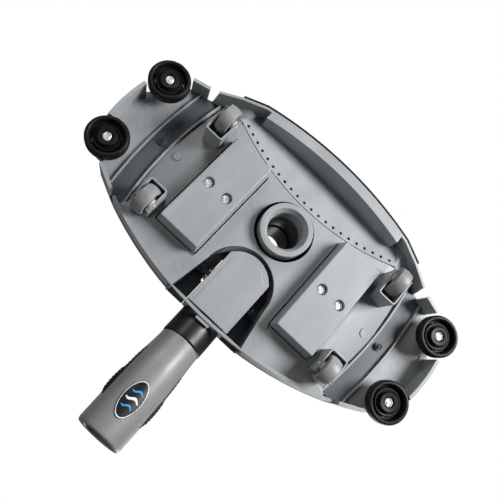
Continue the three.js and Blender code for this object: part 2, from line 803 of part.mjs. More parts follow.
function pivotPin() {
  return alongX(
    turned(
      [
        [0, 21],
        [PIN_R, 21],
        [PIN_R, 32.8],
        [4.6, 32.8],
        [4.6, 34.6],
        [PIN_R, 34.6],
        [PIN_R, 43.5],
        [0, 43.5],
      ],
      12,
    ),
  ).translate([0, ...PIVOT]);
}

function pivotClip() {
  const x = TONGUE_HALF + GAP;
  const [y, z] = PIVOT;
  const plate = cut(block(x, x + 1, y - 7, y + 7, z - 5, z + 5), pivotRod(PIN_R + 0.6, 20, 40));
  const prongs = [-5.3, 5.3].map((dy) => pivotRod(1.1, x + 0.5, x + 4.6, 8).translate([0, dy, 0]));
  return join(plate, ...prongs);
}

function handleTube() {
  return alongY(
    turned(
      [
        [18.9, TUBE_START],
        [TUBE_R, TUBE_START],
        [TUBE_R, SEAM_S - GAP],
        [SPIGOT_R, SEAM_S - GAP],
        [SPIGOT_R, SPIGOT_END],
        [POLE_BORE_R, SPIGOT_END],
        [POLE_BORE_R, 68],
        [18.9, 66],
      ],
      28,
    ),
  );
}

const sleeveProfile = [
  [21.6, SEAM_S],
  [21.8, 84],
  [22.6, 96],
  [23.5, 110],
  [SLEEVE_R, 125],
  [SLEEVE_R, 155],
  [23.6, SLEEVE_END - 3],
  [22.7, SLEEVE_END],
];

function handleSleeve() {
  const body = alongY(
    turned(
      [
        ...sleeveProfile,
        [POLE_BORE_R, SLEEVE_END],
        [POLE_BORE_R, SPIGOT_END + GAP],
        [SPIGOT_R + GAP, SPIGOT_END + GAP],
        [SPIGOT_R + GAP, SEAM_S],
      ],
      32,
    ),
  );
  const recess = join(
    block(GRIP_FLOOR_X, 30, ...GRIP_S, -GRIP_HALF, GRIP_HALF),
    buttonWindow(BUTTON_FLOOR_X),
  );
  return cut(body, recess, mirrorX(recess));
}

// The room for the button, from its floor outwards.
function buttonWindow(x) {
  const half = BUTTON_HALF + GAP;
  return block(x, 35, BUTTON_S[0] - GAP, BUTTON_S[1] + GAP, -half, half);
}

// A skin over the sleeve's outside, grown by extra.
function sleeveSkin(extra) {
  const points = sleeveProfile.map(([r, s]) => [r + extra, s]);
  return alongY(turned([[0, SEAM_S], ...points, [0, SLEEVE_END]], 32));
}

function sideGrip() {
  const half = GRIP_HALF - GAP;
  const pad = block(GRIP_FLOOR_X + GAP, 30, GRIP_S[0] + GAP, GRIP_S[1] - GAP, -half, half);
  return cut(pad.intersect(sleeveSkin(0.7)), buttonWindow(15));
}

function lockButton() {
  const low = BUTTON_FLOOR_X + BUTTON_TRAVEL + 0.6;
  const body = block(low, 32, ...BUTTON_S, -BUTTON_HALF, BUTTON_HALF).intersect(sleeveSkin(2.6));
  const pocket = alongX(rod(3.6, low - 1, 24.8, 0, 0, 10)).translate([0, BUTTON_MIDDLE, 0]);
  return cut(body, pocket);
}

function buttonSpring() {
  const steps = 16;
  const stepsPerTurn = 8;
  const points = Array.from({ length: steps + 1 }, (_, i) => {
    const angle = (i * 2 * Math.PI) / stepsPerTurn;
    const [y, z] = [SPRING_R * Math.cos(angle), SPRING_R * Math.sin(angle)];
    return new THREE.Vector3((SPRING_HEIGHT * i) / steps, y, z);
  });
  const outline = arc(0, 0, 0.4, 0, 2 * Math.PI, 5).slice(0, -1);
  const wire = new THREE.Shape(outline.map((p) => new THREE.Vector2(...p)));
  const extrudePath = new THREE.CatmullRomCurve3(points);
  return solid(new THREE.ExtrudeGeometry(wire, { steps, extrudePath, bevelEnabled: false }));
}

function badge() {
  const circle = arc(0, 0, 1, 0, 2 * Math.PI, 24).slice(0, -1);
  const oval = circle.map(([x, y]) => [x * BADGE_HALF[0], BADGE_S + y * BADGE_HALF[1]]);
  return prism(oval, -30, 0).intersect(cut(sleeveSkin(0.9), sleeveSkin(GAP)));
}

function retainingRing() {
  return turned(
    [
      [BORE_R + 5.8, PORT_TOP + GAP],
      [COLLAR_R + 5, PORT_TOP + GAP],
      [COLLAR_R + 4, PORT_TOP + 3.6],
      [BORE_R + 5.8, PORT_TOP + 3.6],
    ],
    28,
  );
}

// ---------------------------------------------------------------- assembly

const vacuumHead = new THREE.Group();
const head = new THREE.Group();
head.position.y = -ORIGIN_Y;
vacuumHead.add(head);

function addMesh(group, name, shape, look, place = [0, 0, 0]) {
  const mesh = new THREE.Mesh(geometryOf(shape), new THREE.MeshStandardMaterial(look));
  mesh.name = name;
  mesh.position.set(...place);
  group.add(mesh);
}

const bySide = (side, shape) => (side === "left" ? mirrorX(shape) : shape);

addMesh(head, "main_housing", mainHousing(), GREY);
addMesh(head, "front_plate", frontPlate(), GREY);
addMesh(head, "front_bumper_strip", bumperStrip(), RUBBER);
addMesh(head, "top_cover", topCover(), DARK_GREY);

for (const side of ["left", "right"]) {
  const sign = side === "left" ? -1 : 1;
  addMesh(head, `wing_${side}`, bySide(side, wing()), GREY);
  addMesh(head, `weight_cover_${side}`, bySide(side, weightCover()), GREY);
  addMesh(head, `ballast_weight_${side}`, bySide(side, ballastWeight()), IRON);
  const bossEnd = [sign * CHANNEL_BOSS[0], CHANNEL_BOSS[1], EAVE_Z - 3 - GAP];
  addMesh(head, `channel_screw_${side}`, screw(8, 3.2, 1.4), STEEL, bossEnd);
  COVER_SCREWS.forEach((x, i) => {
    const place = [sign * x, COVER_SCREW_Y, COVER_BOTTOM + 4.2 - GAP];
    addMesh(head, `cover_screw_${side}_${i + 1}`, screw(16.5), STEEL, place);
  });

  for (const roller of ROLLERS) {
    const label = `${roller.name}_${side}`;
    const at = [sign * ROLLER_X, roller.y, ROLLER_Z];
    const bracket = bracketWithHoles(roller, sign * ROLLER_X);
    addMesh(head, `roller_bracket_${label}`, bracket, GREY, [sign * ROLLER_X, 0, 0]);
    addMesh(head, `floor_roller_${label}`, floorRoller(), ROLLER_GREY, at);
    addMesh(head, `roller_axle_${label}`, rollerAxle(), STEEL, at);
  }

  for (const bumper of BUMPERS) {
    const label = `${bumper.name}_${side}`;
    const at = [sign * bumper.x, bumper.y, BUMPER_Z];
    addMesh(head, `bumper_tyre_${label}`, bumperTyre(), RUBBER, at);
    addMesh(head, `bumper_hub_${label}`, bumperHub(), BLACK, at);
    const screwAt = [sign * bumper.x, bumper.y, BUMPER_Z + 3.1];
    addMesh(head, `bumper_screw_${label}`, screw(18.5), STEEL, screwAt);
  }

  addMesh(head, `pivot_pin_${side}`, bySide(side, pivotPin()), STEEL);
  addMesh(head, `pivot_clip_${side}`, bySide(side, pivotClip()), STEEL);
}

const port = new THREE.Group();
port.position.set(...PORT, 0);
head.add(port);
addMesh(port, "suction_collar", suctionCollar(), GREY);
addMesh(port, "swivel_connector", swivelConnector(), GREY);
addMesh(port, "retaining_ring", retainingRing(), DARK_GREY);

addMesh(head, "handle_yoke", handleYoke(), GREY);
const handle = new THREE.Group();
handle.position.set(0, ...PIVOT);
handle.rotation.x = -DROOP;
head.add(handle);
addMesh(handle, "handle_tube", handleTube(), BLACK);
addMesh(handle, "handle_sleeve", handleSleeve(), GREY);
addMesh(handle, "badge", badge(), BLACK);
for (const side of ["left", "right"]) {
  const sign = side === "left" ? -1 : 1;
  addMesh(handle, `side_grip_${side}`, bySide(side, sideGrip()), RUBBER);
  addMesh(handle, `lock_button_${side}`, bySide(side, lockButton()), BLACK);
  const spring = bySide(side, buttonSpring());
  const springAt = [sign * (BUTTON_FLOOR_X + GAP), BUTTON_MIDDLE, 0];
  addMesh(handle, `button_spring_${side}`, spring, STEEL, springAt);
}

export default vacuumHead;
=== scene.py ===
"""The looks of a manual pool vacuum head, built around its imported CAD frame.

Shapes are drawn in millimetres in the head's own frame: x along the head, +y towards the handle, +z up,
with the floor at z = 0. settle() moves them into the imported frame, which is in metres and has its origin
ORIGIN_Y further on.
"""

import math

import bmesh
import bpy
from mathutils import Matrix, Vector

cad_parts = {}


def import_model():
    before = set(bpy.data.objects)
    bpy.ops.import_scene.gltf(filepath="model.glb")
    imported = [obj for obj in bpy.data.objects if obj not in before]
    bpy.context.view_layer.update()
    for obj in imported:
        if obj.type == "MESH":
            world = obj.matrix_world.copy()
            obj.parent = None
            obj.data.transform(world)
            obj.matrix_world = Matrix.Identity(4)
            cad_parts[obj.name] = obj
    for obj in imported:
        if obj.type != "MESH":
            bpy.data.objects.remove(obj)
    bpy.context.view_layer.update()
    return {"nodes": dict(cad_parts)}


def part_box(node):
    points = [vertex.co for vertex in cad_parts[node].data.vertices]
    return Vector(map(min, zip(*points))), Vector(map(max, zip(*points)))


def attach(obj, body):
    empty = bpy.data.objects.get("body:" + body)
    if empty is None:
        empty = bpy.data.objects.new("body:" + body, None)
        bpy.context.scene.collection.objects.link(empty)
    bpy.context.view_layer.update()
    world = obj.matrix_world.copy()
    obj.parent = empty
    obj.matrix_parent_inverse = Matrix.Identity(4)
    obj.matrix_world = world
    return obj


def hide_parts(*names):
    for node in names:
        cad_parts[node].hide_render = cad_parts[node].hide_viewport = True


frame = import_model()

MM = 0.001
ORIGIN_Y = 57.65

# ---------------------------------------------------------------- sizes of the head, as in the CAD source

WALL = 3
PLATE_Z = 36.5
RIM_Z = 27
EAVE_Z = 51.5
PLATE_TOP = PLATE_Z + WALL
SKIRT_TOP = EAVE_Z + WALL

FRONT_Y = -123.2
FRONT_R = 428
LIP_X = 95
LIP_WIDTH = 11.5
FRONT_ARC_X = 102
FRONT_SHOULDER = (126.6, -99.6)
NOTCH_FRONT_RIM = (148.3, -86.3)
NOTCH_FRONT_BASE = (152.7, -83.9)
NOTCH_REAR = (144.8, 72)
REAR_Y = 97.8
RIB_LINE = ((142.3, -84), (147, -9), (136.8, 72))
PLATEAU_X = 106

WING_NOTCH_FRONT = (157.5, -82.5)
WING_FRONT_END = (176, -77)
WING_SIDE = ((207.7, -36.8), (209.3, -9), (207, 15.8))
WING_REAR_END = (177.4, 56.8)
WING_NOTCH_REAR = (152.2, 68.8)
WING_RIB_LINE = ((163.4, -77), (166.4, -9), (159.6, 62))
WING_WALL = 3.7

BUMPERS = {"front": (191.5, -56.2), "rear": (190.8, 32.3)}
BUMPER_R = 22
BUMPER_LOW = 25
BUMPER_THICK = 13
BUMPER_EAR_R = 15

SEAM_Y = -347
SEAM_R = 287
HOLE_ROW_R = 281.6
HOLE_COUNT = 22
HOLE_STEP = math.radians(2.055)

PORT = (0, -26)
PORT_HOLE_R = 32
COLLAR_R = 28.1
BORE_R = 19
HOSE_R = 19.05
HOSE_BORE_R = 16.2
CONNECTOR_TOP = 112
PORT_TOP = 79
CONNECTOR_LEAN = math.radians(8)

ROLLER_X = 118.8
ROLLERS = {"front": (-63.3, -1, -39.5, -71), "rear": (54, 1, 34.7, 62)}
ROLLER_R = 15.5
ROLLER_WIDTH = 13.4
BRACKET_HALF = 10.6
BRACKET_WALL = 1.6
BRACKET_RIM = 10.5

COVER_X = (50.8, 102.2)
COVER_Y = (-61, 56)
COVER_BOTTOM = PLATE_Z - 18
COVER_DRAFT = 2.2
BEAD_FRONT = -56
COVER_SCREWS = (65.2, 88.5)
COVER_SCREW_Y = -2.6

PIVOT_Y, PIVOT_Z = 54.5, 66
DROOP = math.radians(13.4)
ARCH_HALF = 38.5
ARCH_TOP_Y = 10.5
STRIP_TOP = 31.8
CHANNEL_SCREW = (155.9, -10.3)
SLOT_HALF = 26.3
SLOT_FRONT = 31
TONGUE_HALF = 25.8
CHEEK_INNER = 22.3
PIN_HOLE_R = 3.3
TONGUE_Z = 34.5
TUBE_R = 22.4
TUBE_START = 44
SEAM_S = 75.5
SPIGOT_END = 102
SLEEVE_END = 186
POLE_BORE_R = 16.1
SPIGOT_R = 18.6
SPIGOT_HOLE_R = 18.9
GRIP_S = (100, 158)
GRIP_HALF = 8.5
GRIP_FLOOR_X = 21.3
BUTTON_S = (126, 155)
BUTTON_HALF = 6.3
BUTTON_FLOOR_X = 17.6
BADGE_S = 148
DOME = {"x": 330, "y": 185, "z": 62.5, "cy": 8, "cz": 16}

SIDES = {"left": -1, "right": 1}

# ---------------------------------------------------------------- outlines


def arc(cx, cy, r, start, end, steps):
    angles = [start + (end - start) * i / steps for i in range(steps + 1)]
    return [(cx + r * math.cos(a), cy + r * math.sin(a)) for a in angles]


def circle(segments):
    """The points of a unit circle, the first on +x."""
    angles = [2 * math.pi * i / segments for i in range(segments)]
    return [(math.cos(a), math.sin(a)) for a in angles]


def arc_through(a, b, c, steps):
    """Points of the arc through three points, both ends included."""
    d = 2 * (a[0] * (b[1] - c[1]) + b[0] * (c[1] - a[1]) + c[0] * (a[1] - b[1]))
    squares = [p[0] ** 2 + p[1] ** 2 for p in (a, b, c)]
    ux = (squares[0] * (b[1] - c[1]) + squares[1] * (c[1] - a[1]) + squares[2] * (a[1] - b[1])) / d
    uy = (squares[0] * (c[0] - b[0]) + squares[1] * (a[0] - c[0]) + squares[2] * (b[0] - a[0])) / d

    def turn(point, base):
        angle = math.atan2(point[1] - uy, point[0] - ux)
        return (angle - base + math.pi) % (2 * math.pi) - math.pi

    start = math.atan2(a[1] - uy, a[0] - ux)
    middle = start + turn(b, start)
    return arc(ux, uy, math.hypot(a[0] - ux, a[1] - uy), start, middle + turn(c, middle), steps)


def mirrored(points):
    return [(-x, y) for x, y in reversed(points)]


def sideways(point, before, after, distance):
    """The point moved to the left of the way from before to after."""
    dx, dy = after[0] - before[0], after[1] - before[1]
    length = math.hypot(dx, dy)
    return point[0] - dy / length * distance, point[1] + dx / length * distance


def offset(points, distance):
    """The open line moved sideways, to its left for a positive distance."""
    padded = [points[0], *points, points[-1]]
    return [sideways(p, *ends, distance) for p, *ends in zip(points, padded, padded[2:])]


def band(points, distance):
    return [*points, *reversed(offset(points, distance))]


def shrunk(points, distance):
    """A closed outline moved inwards."""
    area = sum(a[0] * b[1] - b[0] * a[1] for a, b in zip(points, points[1:] + points[:1]))
    closed = points if area > 0 else points[::-1]
    count = len(closed)
    return [sideways(p, closed[i - 1], closed[(i + 1) % count], distance) for i, p in enumerate(closed)]


def front_arc(r, half_x, steps):
    half = math.asin(half_x / r)
    return arc(0, FRONT_Y + FRONT_R, r, -math.pi / 2 - half, -math.pi / 2 + half, steps)


def front_line(end):
    shoulder = [FRONT_SHOULDER, end]
    return mirrored(shoulder) + front_arc(FRONT_R, FRONT_ARC_X, 48) + shoulder


def seam_arc(r, half_x, steps):
    half = math.asin(half_x / r)
    return arc(0, SEAM_Y, r, math.pi / 2 + half, math.pi / 2 - half, steps)


REAR_LINE = arc_through(NOTCH_REAR, (0, REAR_Y), (-NOTCH_REAR[0], NOTCH_REAR[1]), 48)
RIB = arc_through(*RIB_LINE, 24)
WING_RIB = arc_through(*WING_RIB_LINE, 24)
WING_SIDE_LINE = arc_through(*WING_SIDE, 16)
PLATE_OUTLINE = front_line(NOTCH_FRONT_RIM) + RIB + REAR_LINE + mirrored(RIB)


def arch_outline(grow, rear_y):
    half = ARCH_HALF + grow
    top = arc(0, ARCH_TOP_Y + ARCH_HALF, half, -math.pi, 0, 40)
    flare = half + 0.16 * (rear_y - ARCH_TOP_Y - ARCH_HALF)
    return [*top, (flare, rear_y), (-flare, rear_y)]


def bumper_ear(name, before, after):
    x, y = BUMPERS[name]
    return arc(
        x,
        y,
        BUMPER_EAR_R,
        math.atan2(before[1] - y, before[0] - x),
        math.atan2(after[1] - y, after[0] - x),
        16,
    )


# ---------------------------------------------------------------- mesh kit


def new_object(name, vertices, faces):
    mesh = bpy.data.meshes.new(name)
    mesh.from_pydata([tuple(v) for v in vertices], [], faces)
    made = bmesh.new()
    made.from_mesh(mesh)
    bmesh.ops.recalc_face_normals(made, faces=made.faces)
    if made.calc_volume(signed=True) < 0:
        bmesh.ops.reverse_faces(made, faces=made.faces)
    made.to_mesh(mesh)
    made.free()
    obj = bpy.data.objects.new(name, mesh)
    bpy.context.scene.collection.objects.link(obj)
    return obj


def rings_solid(rings, closed_tube=False):
    """A solid through rings of points with the same count, capped, or joined end to end as a closed tube."""
    count = len(rings[0])
    vertices = [p for ring in rings for p in ring]
    spans = len(rings) if closed_tube else len(rings) - 1
    faces = []
    for k in range(spans):
        low, high = k * count, ((k + 1) % len(rings)) * count
        for i in range(count):
            j = (i + 1) % count
            faces.append((low + i, low + j, high + j, high + i))
    if not closed_tube:
        faces.append(tuple(reversed(range(count))))
        faces.append(tuple(range((len(rings) - 1) * count, len(rings) * count)))
    return new_object("solid", vertices, faces)


def level(points, z):
    return [(x, y, z) for x, y in points]


def prism(points, z0, z1):
    return rings_solid([level(points, z0), level(points, z1)])


def taper(lower, upper, z0, z1):
    return rings_solid([level(lower, z0), level(upper, z1)])


def block(x0, x1, y0, y1, z0, z1):
    return prism([(x0, y0), (x1, y0), (x1, y1), (x0, y1)], z0, z1)


def turned(profile, segments=96):
    """A solid turned about z from a closed profile of (radius, height); radius 0 only at the two ends."""
    on_axis = profile[0][0] == 0
    if on_axis:
        profile = profile[1:-1]
    rings = [[(r * x, r * y, z) for x, y in circle(segments)] for r, z in profile]
    return rings_solid(rings, closed_tube=not on_axis)


def disc(r, z0, z1, x=0, y=0, segments=48):
    return prism([(x + r * cx, y + r * cy) for cx, cy in circle(segments)], z0, z1)


def grid_solid(lower, upper, columns, rows):
    """A solid between two surfaces, each a function of u and v from 0 to 1."""
    vertices, faces = [], []
    for surface in (lower, upper):
        for j in range(rows + 1):
            for i in range(columns + 1):
                vertices.append(surface(i / columns, j / rows))
    width, sheet = columns + 1, (columns + 1) * (rows + 1)
    for j in range(rows):
        for i in range(columns):
            a = j * width + i
            faces.append((a, a + 1, a + width + 1, a + width))
            faces.append((sheet + a, sheet + a + width, sheet + a + width + 1, sheet + a + 1))
    edge = [i for i in range(columns)]
    edge += [j * width + columns for j in range(rows)]
    edge += [rows * width + i for i in range(columns, 0, -1)]
    edge += [j * width for j in range(rows, 0, -1)]
    for a, b in zip(edge, edge[1:] + edge[:1]):
        faces.append((a, b, sheet + b, sheet + a))
    return new_object("solid", vertices, faces)


def moved(obj, matrix):
    obj.data.transform(matrix)
    return obj


def shifted(obj, x=0, y=0, z=0):
    return moved(obj, Matrix.Translation((x, y, z)))


def turned_about(obj, axis, degrees):
    return moved(obj, Matrix.Rotation(math.radians(degrees), 4, axis))


def along_x(obj):
    return turned_about(obj, "Y", 90)


def mirror_x(obj):
    moved(obj, Matrix.Scale(-1, 4, (1, 0, 0)))
    obj.data.flip_normals()
    return obj


def by_side(obj, side):
    return mirror_x(obj) if side == "left" else obj


def baked(obj):
    """The object with its modifiers applied."""
    bpy.context.view_layer.update()
    graph = bpy.context.evaluated_depsgraph_get()
    mesh = bpy.data.meshes.new_from_object(obj.evaluated_get(graph))
    obj.modifiers.clear()
    obj.data = mesh
    return obj


def boolean(obj, operation, tools):
    for tool in tools:
        modifier = obj.modifiers.new("boolean", "BOOLEAN")
        modifier.operation = operation
        modifier.solver = "MANIFOLD"
        modifier.object = tool
    baked(obj)
    for tool in tools:
        bpy.data.objects.remove(tool)
    return obj


def cut(obj, *tools):
    return boolean(obj, "DIFFERENCE", tools)


def join(obj, *tools):
    return boolean(obj, "UNION", tools)


def within(obj, *tools):
    return boolean(obj, "INTERSECT", tools)


def gathered(obj, *others):
    """The objects as one, without a boolean, for separate small pieces."""
    made = bmesh.new()
    for one in (obj, *others):
        made.from_mesh(one.data)
    made.to_mesh(obj.data)
    made.free()
    for one in others:
        bpy.data.objects.remove(one)
    return obj


def rounded(obj, width, segments=2, angle=32):
    """Sharp edges rounded to that width."""
    made = bmesh.new()
    made.from_mesh(obj.data)
    bmesh.ops.remove_doubles(made, verts=made.verts, dist=0.02)
    bmesh.ops.dissolve_limit(made, angle_limit=math.radians(0.5), verts=made.verts, edges=made.edges)
    made.to_mesh(obj.data)
    made.free()
    bevel = obj.modifiers.new("bevel", "BEVEL")
    bevel.width = width
    bevel.segments = segments
    bevel.limit_method = "ANGLE"
    bevel.angle_limit = math.radians(angle)
    bevel.use_clamp_overlap = False
    return baked(obj)


def settle(obj, name, body, material, replaces=(), sharp=38):
    """Finishes a piece: shading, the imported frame's place, material, body and the nodes it stands for."""
    mesh = obj.data
    mesh.polygons.foreach_set("use_smooth", [True] * len(mesh.polygons))
    mesh.set_sharp_from_angle(angle=math.radians(sharp))
    weighted = obj.modifiers.new("normals", "WEIGHTED_NORMAL")
    weighted.keep_sharp = True
    baked(obj)
    obj.name = name
    obj.data.name = name
    moved(obj, Matrix.Scale(MM, 4) @ Matrix.Translation((0, -ORIGIN_Y, 0)))
    obj.data.materials.clear()
    obj.data.materials.append(material)
    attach(obj, body)
    if replaces:
        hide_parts(*replaces)
    return obj


# ---------------------------------------------------------------- materials


def nodes_of(name):
    material = bpy.data.materials.new(name)
    material.use_nodes = True
    tree = material.node_tree
    shader = tree.nodes["Principled BSDF"]
    return material, tree, shader


def add_node(tree, kind, values=None, links=None):
    """A new node, with its inputs set to values and fed by links."""
    node = tree.nodes.new("ShaderNode" + kind)
    for key, value in (values or {}).items():
        node.inputs[key].default_value = value
    for key, source in (links or {}).items():
        tree.links.new(source, node.inputs[key])
    return node


def noise(tree, scale, detail=4, roughness=0.55, stretch=(1, 1, 1)):
    place = add_node(tree, "TexCoord").outputs["Object"]
    mapped = add_node(tree, "Mapping", {"Scale": stretch}, {"Vector": place}).outputs["Vector"]
    values = {"Scale": scale, "Detail": detail, "Roughness": roughness}
    return add_node(tree, "TexNoise", values, {"Vector": mapped}).outputs["Fac"]


def ramp(tree, source, low, high, from_low=0.3, from_high=0.7):
    values = {"From Min": from_low, "From Max": from_high, "To Min": low, "To Max": high}
    return add_node(tree, "MapRange", values, {"Value": source}).outputs["Result"]


def blend(tree, factor, low, high):
    """A mix of two colours, each a tuple or another node's output."""
    mix = tree.nodes.new("ShaderNodeMix")
    mix.data_type = "RGBA"
    for key, end in (("A", low), ("B", high)):
        if isinstance(end, tuple):
            mix.inputs[key].default_value = (*end, 1)
        else:
            tree.links.new(end, mix.inputs[key])
    tree.links.new(factor, mix.inputs["Factor"])
    return mix.outputs["Result"]


def add_bump(tree, shader, height, strength, distance):
    bump = add_node(tree, "Bump", {"Strength": strength, "Distance": distance}, {"Height": height})
    tree.links.new(bump.outputs["Normal"], shader.inputs["Normal"])


def moulded(name, colour, roughness, scuff=0.2, flow=0.1, bump=0.12, sheen=0.45):
    """Moulded plastic: faint flow marks and swirls, a fine matt texture, pale scuffs and uneven gloss."""
    material, tree, shader = nodes_of(name)
    dark = tuple(c * (1 - flow) for c in colour)
    pale = tuple(min(1, c * (1 + flow)) for c in colour)
    streaks = noise(tree, 26, 5, 0.6, (1, 0.35, 1))
    place = add_node(tree, "TexCoord").outputs["Object"]
    swirls = add_node(tree, "TexWave", {"Scale": 60, "Distortion": 16, "Detail": 3}, {"Vector": place})
    swirls.wave_type = "RINGS"
    swirls.rings_direction = "Z"
    marbled = add_node(tree, "Math", {1: 0.03}, {0: swirls.outputs["Fac"], 2: streaks})
    marbled.operation = "MULTIPLY_ADD"
    body = blend(tree, ramp(tree, marbled.outputs["Value"], 0, 1, 0.38, 0.7), dark, pale)
    scuffs = ramp(tree, noise(tree, 240, 8, 0.75, (1, 0.5, 1)), 0, scuff, 0.6, 0.78)
    worn = tuple(min(1, c * 1.5 + 0.05) for c in colour)
    tree.links.new(blend(tree, scuffs, body, worn), shader.inputs["Base Color"])
    blotches = noise(tree, 60, 6, 0.6)
    tree.links.new(ramp(tree, blotches, roughness - 0.06, roughness + 0.08), shader.inputs["Roughness"])
    shader.inputs["Specular IOR Level"].default_value = sheen
    add_bump(tree, shader, noise(tree, 1400, 3, 0.6), bump, 0.00015)
    return material


def rubber_finish(name, colour, roughness, bump=0.2):
    """Rubber: near black with faint dust and a fine grain."""
    material, tree, shader = nodes_of(name)
    dust = tuple(c + 0.006 for c in colour)
    dirty = ramp(tree, noise(tree, 90, 6, 0.65), 0, 1, 0.5, 0.75)
    tree.links.new(blend(tree, dirty, colour, dust), shader.inputs["Base Color"])
    gloss = ramp(tree, noise(tree, 55, 5, 0.6), roughness - 0.07, roughness + 0.1)
    tree.links.new(gloss, shader.inputs["Roughness"])
    shader.inputs["Specular IOR Level"].default_value = 0.18
    add_bump(tree, shader, noise(tree, 1800, 3, 0.6), bump, 0.0001)
    return material


def steel_finish(name, colour, roughness, metallic):
    """Turned steel with fine scratches and slightly uneven brightness."""
    material, tree, shader = nodes_of(name)
    shader.inputs["Metallic"].default_value = metallic
    duller = tuple(c * 0.72 for c in colour)
    stains = ramp(tree, noise(tree, 220, 5, 0.6), 0, 1, 0.3, 0.62)
    tree.links.new(blend(tree, stains, duller, colour), shader.inputs["Base Color"])
    scratches = noise(tree, 900, 4, 0.7, (1, 0.12, 1))
    tree.links.new(ramp(tree, scratches, roughness - 0.08, roughness + 0.14), shader.inputs["Roughness"])
    add_bump(tree, shader, scratches, 0.25, 0.00006)
    return material


GREY = moulded("grey_plastic", (0.25, 0.263, 0.272), 0.46)
SLEEVE_GREY = moulded("sleeve_plastic", (0.17, 0.175, 0.172), 0.4, scuff=0.1, sheen=0.35)
COVER_GREY = moulded("cover_plastic", (0.062, 0.071, 0.079), 0.4, scuff=0.12, flow=0.1)
NECK_GREY = moulded("neck_plastic", (0.03, 0.032, 0.034), 0.4, scuff=0.05, flow=0.2, sheen=0.35)
ROLLER_GREY = moulded("roller_plastic", (0.2, 0.205, 0.208), 0.44, scuff=0.45, flow=0.25, bump=0.3)
BLACK = moulded("black_plastic", (0.004, 0.004, 0.0045), 0.45, scuff=0.01, flow=0.3, bump=0.06, sheen=0.18)
TUBE_BLACK = moulded("tube_plastic", (0.008, 0.0085, 0.009), 0.36, scuff=0.02, flow=0.3, bump=0.05, sheen=0.3)
RUBBER = rubber_finish("wheel_rubber", (0.004, 0.004, 0.0045), 0.45)
GRIP = rubber_finish("grip_rubber", (0.012, 0.012, 0.013), 0.5, 0.35)
STEEL = steel_finish("bright_steel", (0.82, 0.82, 0.81), 0.4, 0.4)
PIN_STEEL = steel_finish("pin_steel", (0.2, 0.205, 0.21), 0.5, 0.5)
IRON = steel_finish("ballast_iron", (0.12, 0.12, 0.13), 0.6, 0.8)
BADGE_BLUE = moulded("badge_blue", (0.04, 0.25, 0.5), 0.25, scuff=0, flow=0.15, bump=0.02)
BADGE_PALE = moulded("badge_pale", (0.6, 0.64, 0.68), 0.3, scuff=0, flow=0.08, bump=0.02)


# ---------------------------------------------------------------- housing


def dome(inset, columns=160, rows=80):
    """The whole ellipsoid that the cover is a cap of, moved in by inset."""
    half = {"x": DOME["x"] - inset, "y": DOME["y"] - inset, "z": DOME["z"] - inset}
    rings = []
    for j in range(1, rows):
        tilt = -math.pi / 2 + math.pi * j / rows
        wide, deep = half["x"] * math.cos(tilt), half["y"] * math.cos(tilt)
        z = half["z"] * math.sin(tilt) + DOME["cz"]
        rings.append([(wide * x, deep * y + DOME["cy"], z) for x, y in circle(columns)])
    return rings_solid(rings)


def floor_underside(drop, top):
    """Everything above the floor's underside: level in the middle, curving up to the eaves."""
    inner = seam_arc(SEAM_R, PLATEAU_X, 24) + [(PLATEAU_X, 0), (PLATEAU_X, 60)] + REAR_LINE
    inner += [(-PLATEAU_X, 60), (-PLATEAU_X, 0)]
    outer = seam_arc(SEAM_R - 42, 132, 24) + [RIB_LINE[1], (RIB_LINE[2][0], 60)] + REAR_LINE
    outer += [(-RIB_LINE[2][0], 60), (-RIB_LINE[1][0], RIB_LINE[1][1])]
    steps = 8
    rings = []
    for k in range(steps + 1):
        share = k / steps
        rise = (EAVE_Z - PLATE_Z) * (0.55 * share + 0.45 * share * share)
        rings.append(
            [
                (a[0] + (b[0] - a[0]) * share, a[1] + (b[1] - a[1]) * share, PLATE_Z - drop + rise)
                for a, b in zip(inner, outer)
            ]
        )
    rings.append(level(outer, top))
    return rings_solid(rings)


def front_plate_outline(shrink):
    seam = seam_arc(SEAM_R - shrink, LIP_X + 19 - 2 * shrink, 48)
    inner = front_arc(FRONT_R - WALL - 0.6 - shrink, LIP_X + 5 - 2 * shrink, 48)
    return seam + inner[::-1]


def main_housing():
    pan = within(cut(floor_underside(0, SKIRT_TOP), floor_underside(-WALL, 90)), prism(PLATE_OUTLINE, 20, 90))
    front_rim, front_base = (band(front_line(end), WALL) for end in (NOTCH_FRONT_RIM, NOTCH_FRONT_BASE))
    front = taper(front_rim, front_base, RIM_Z, SKIRT_TOP)
    rear = prism(band(REAR_LINE, WALL), RIM_Z, SKIRT_TOP)
    ribs = [prism(band(line, 2.2), EAVE_Z - 3.5, SKIRT_TOP) for line in (RIB, mirrored(RIB))]
    body = join(pan, front, rear, *ribs)
    openings = [
        prism(arch_outline(0, 130), STRIP_TOP, SKIRT_TOP + 1),
        prism(arch_outline(0, REAR_Y - WALL - 1), 20, STRIP_TOP + 1),
        disc(PORT_HOLE_R, PLATE_Z - 1, PLATE_TOP + 1, *PORT, 96),
        prism(front_plate_outline(0), PLATE_Z - 1, 90),
    ]
    body = cut(body, *openings)
    bosses = []
    for side in (-1, 1):
        boss = turned_about(disc(6.5, 36, 43.5), "Y", 90 * side)
        bosses.append(shifted(boss, 0, PIVOT_Y, PIVOT_Z))
    tab = block(-8, 8, REAR_Y - 1.5, REAR_Y + 3.6, RIM_Z + 1.4, STRIP_TOP - 0.8)
    pin_hole = shifted(along_x(disc(PIN_HOLE_R, -50, 50)), 0, PIVOT_Y, PIVOT_Z)
    body = rounded(cut(join(body, tab), *weight_moats()), 0.45)
    settle(body, "housing_shell", "head", GREY, ["main_housing"])
    well = cut(join(arch_well(), *bosses), pin_hole)
    # Painted shade: the well is part of the grey chassis but takes the dark cover plastic, which stands for
    # the deep shade inside the arch recess.
    settle(well, "arch_well", "head", COVER_GREY, sharp=30)
    settle(gathered(*weight_frames()), "weight_frames", "head", GREY, sharp=50)


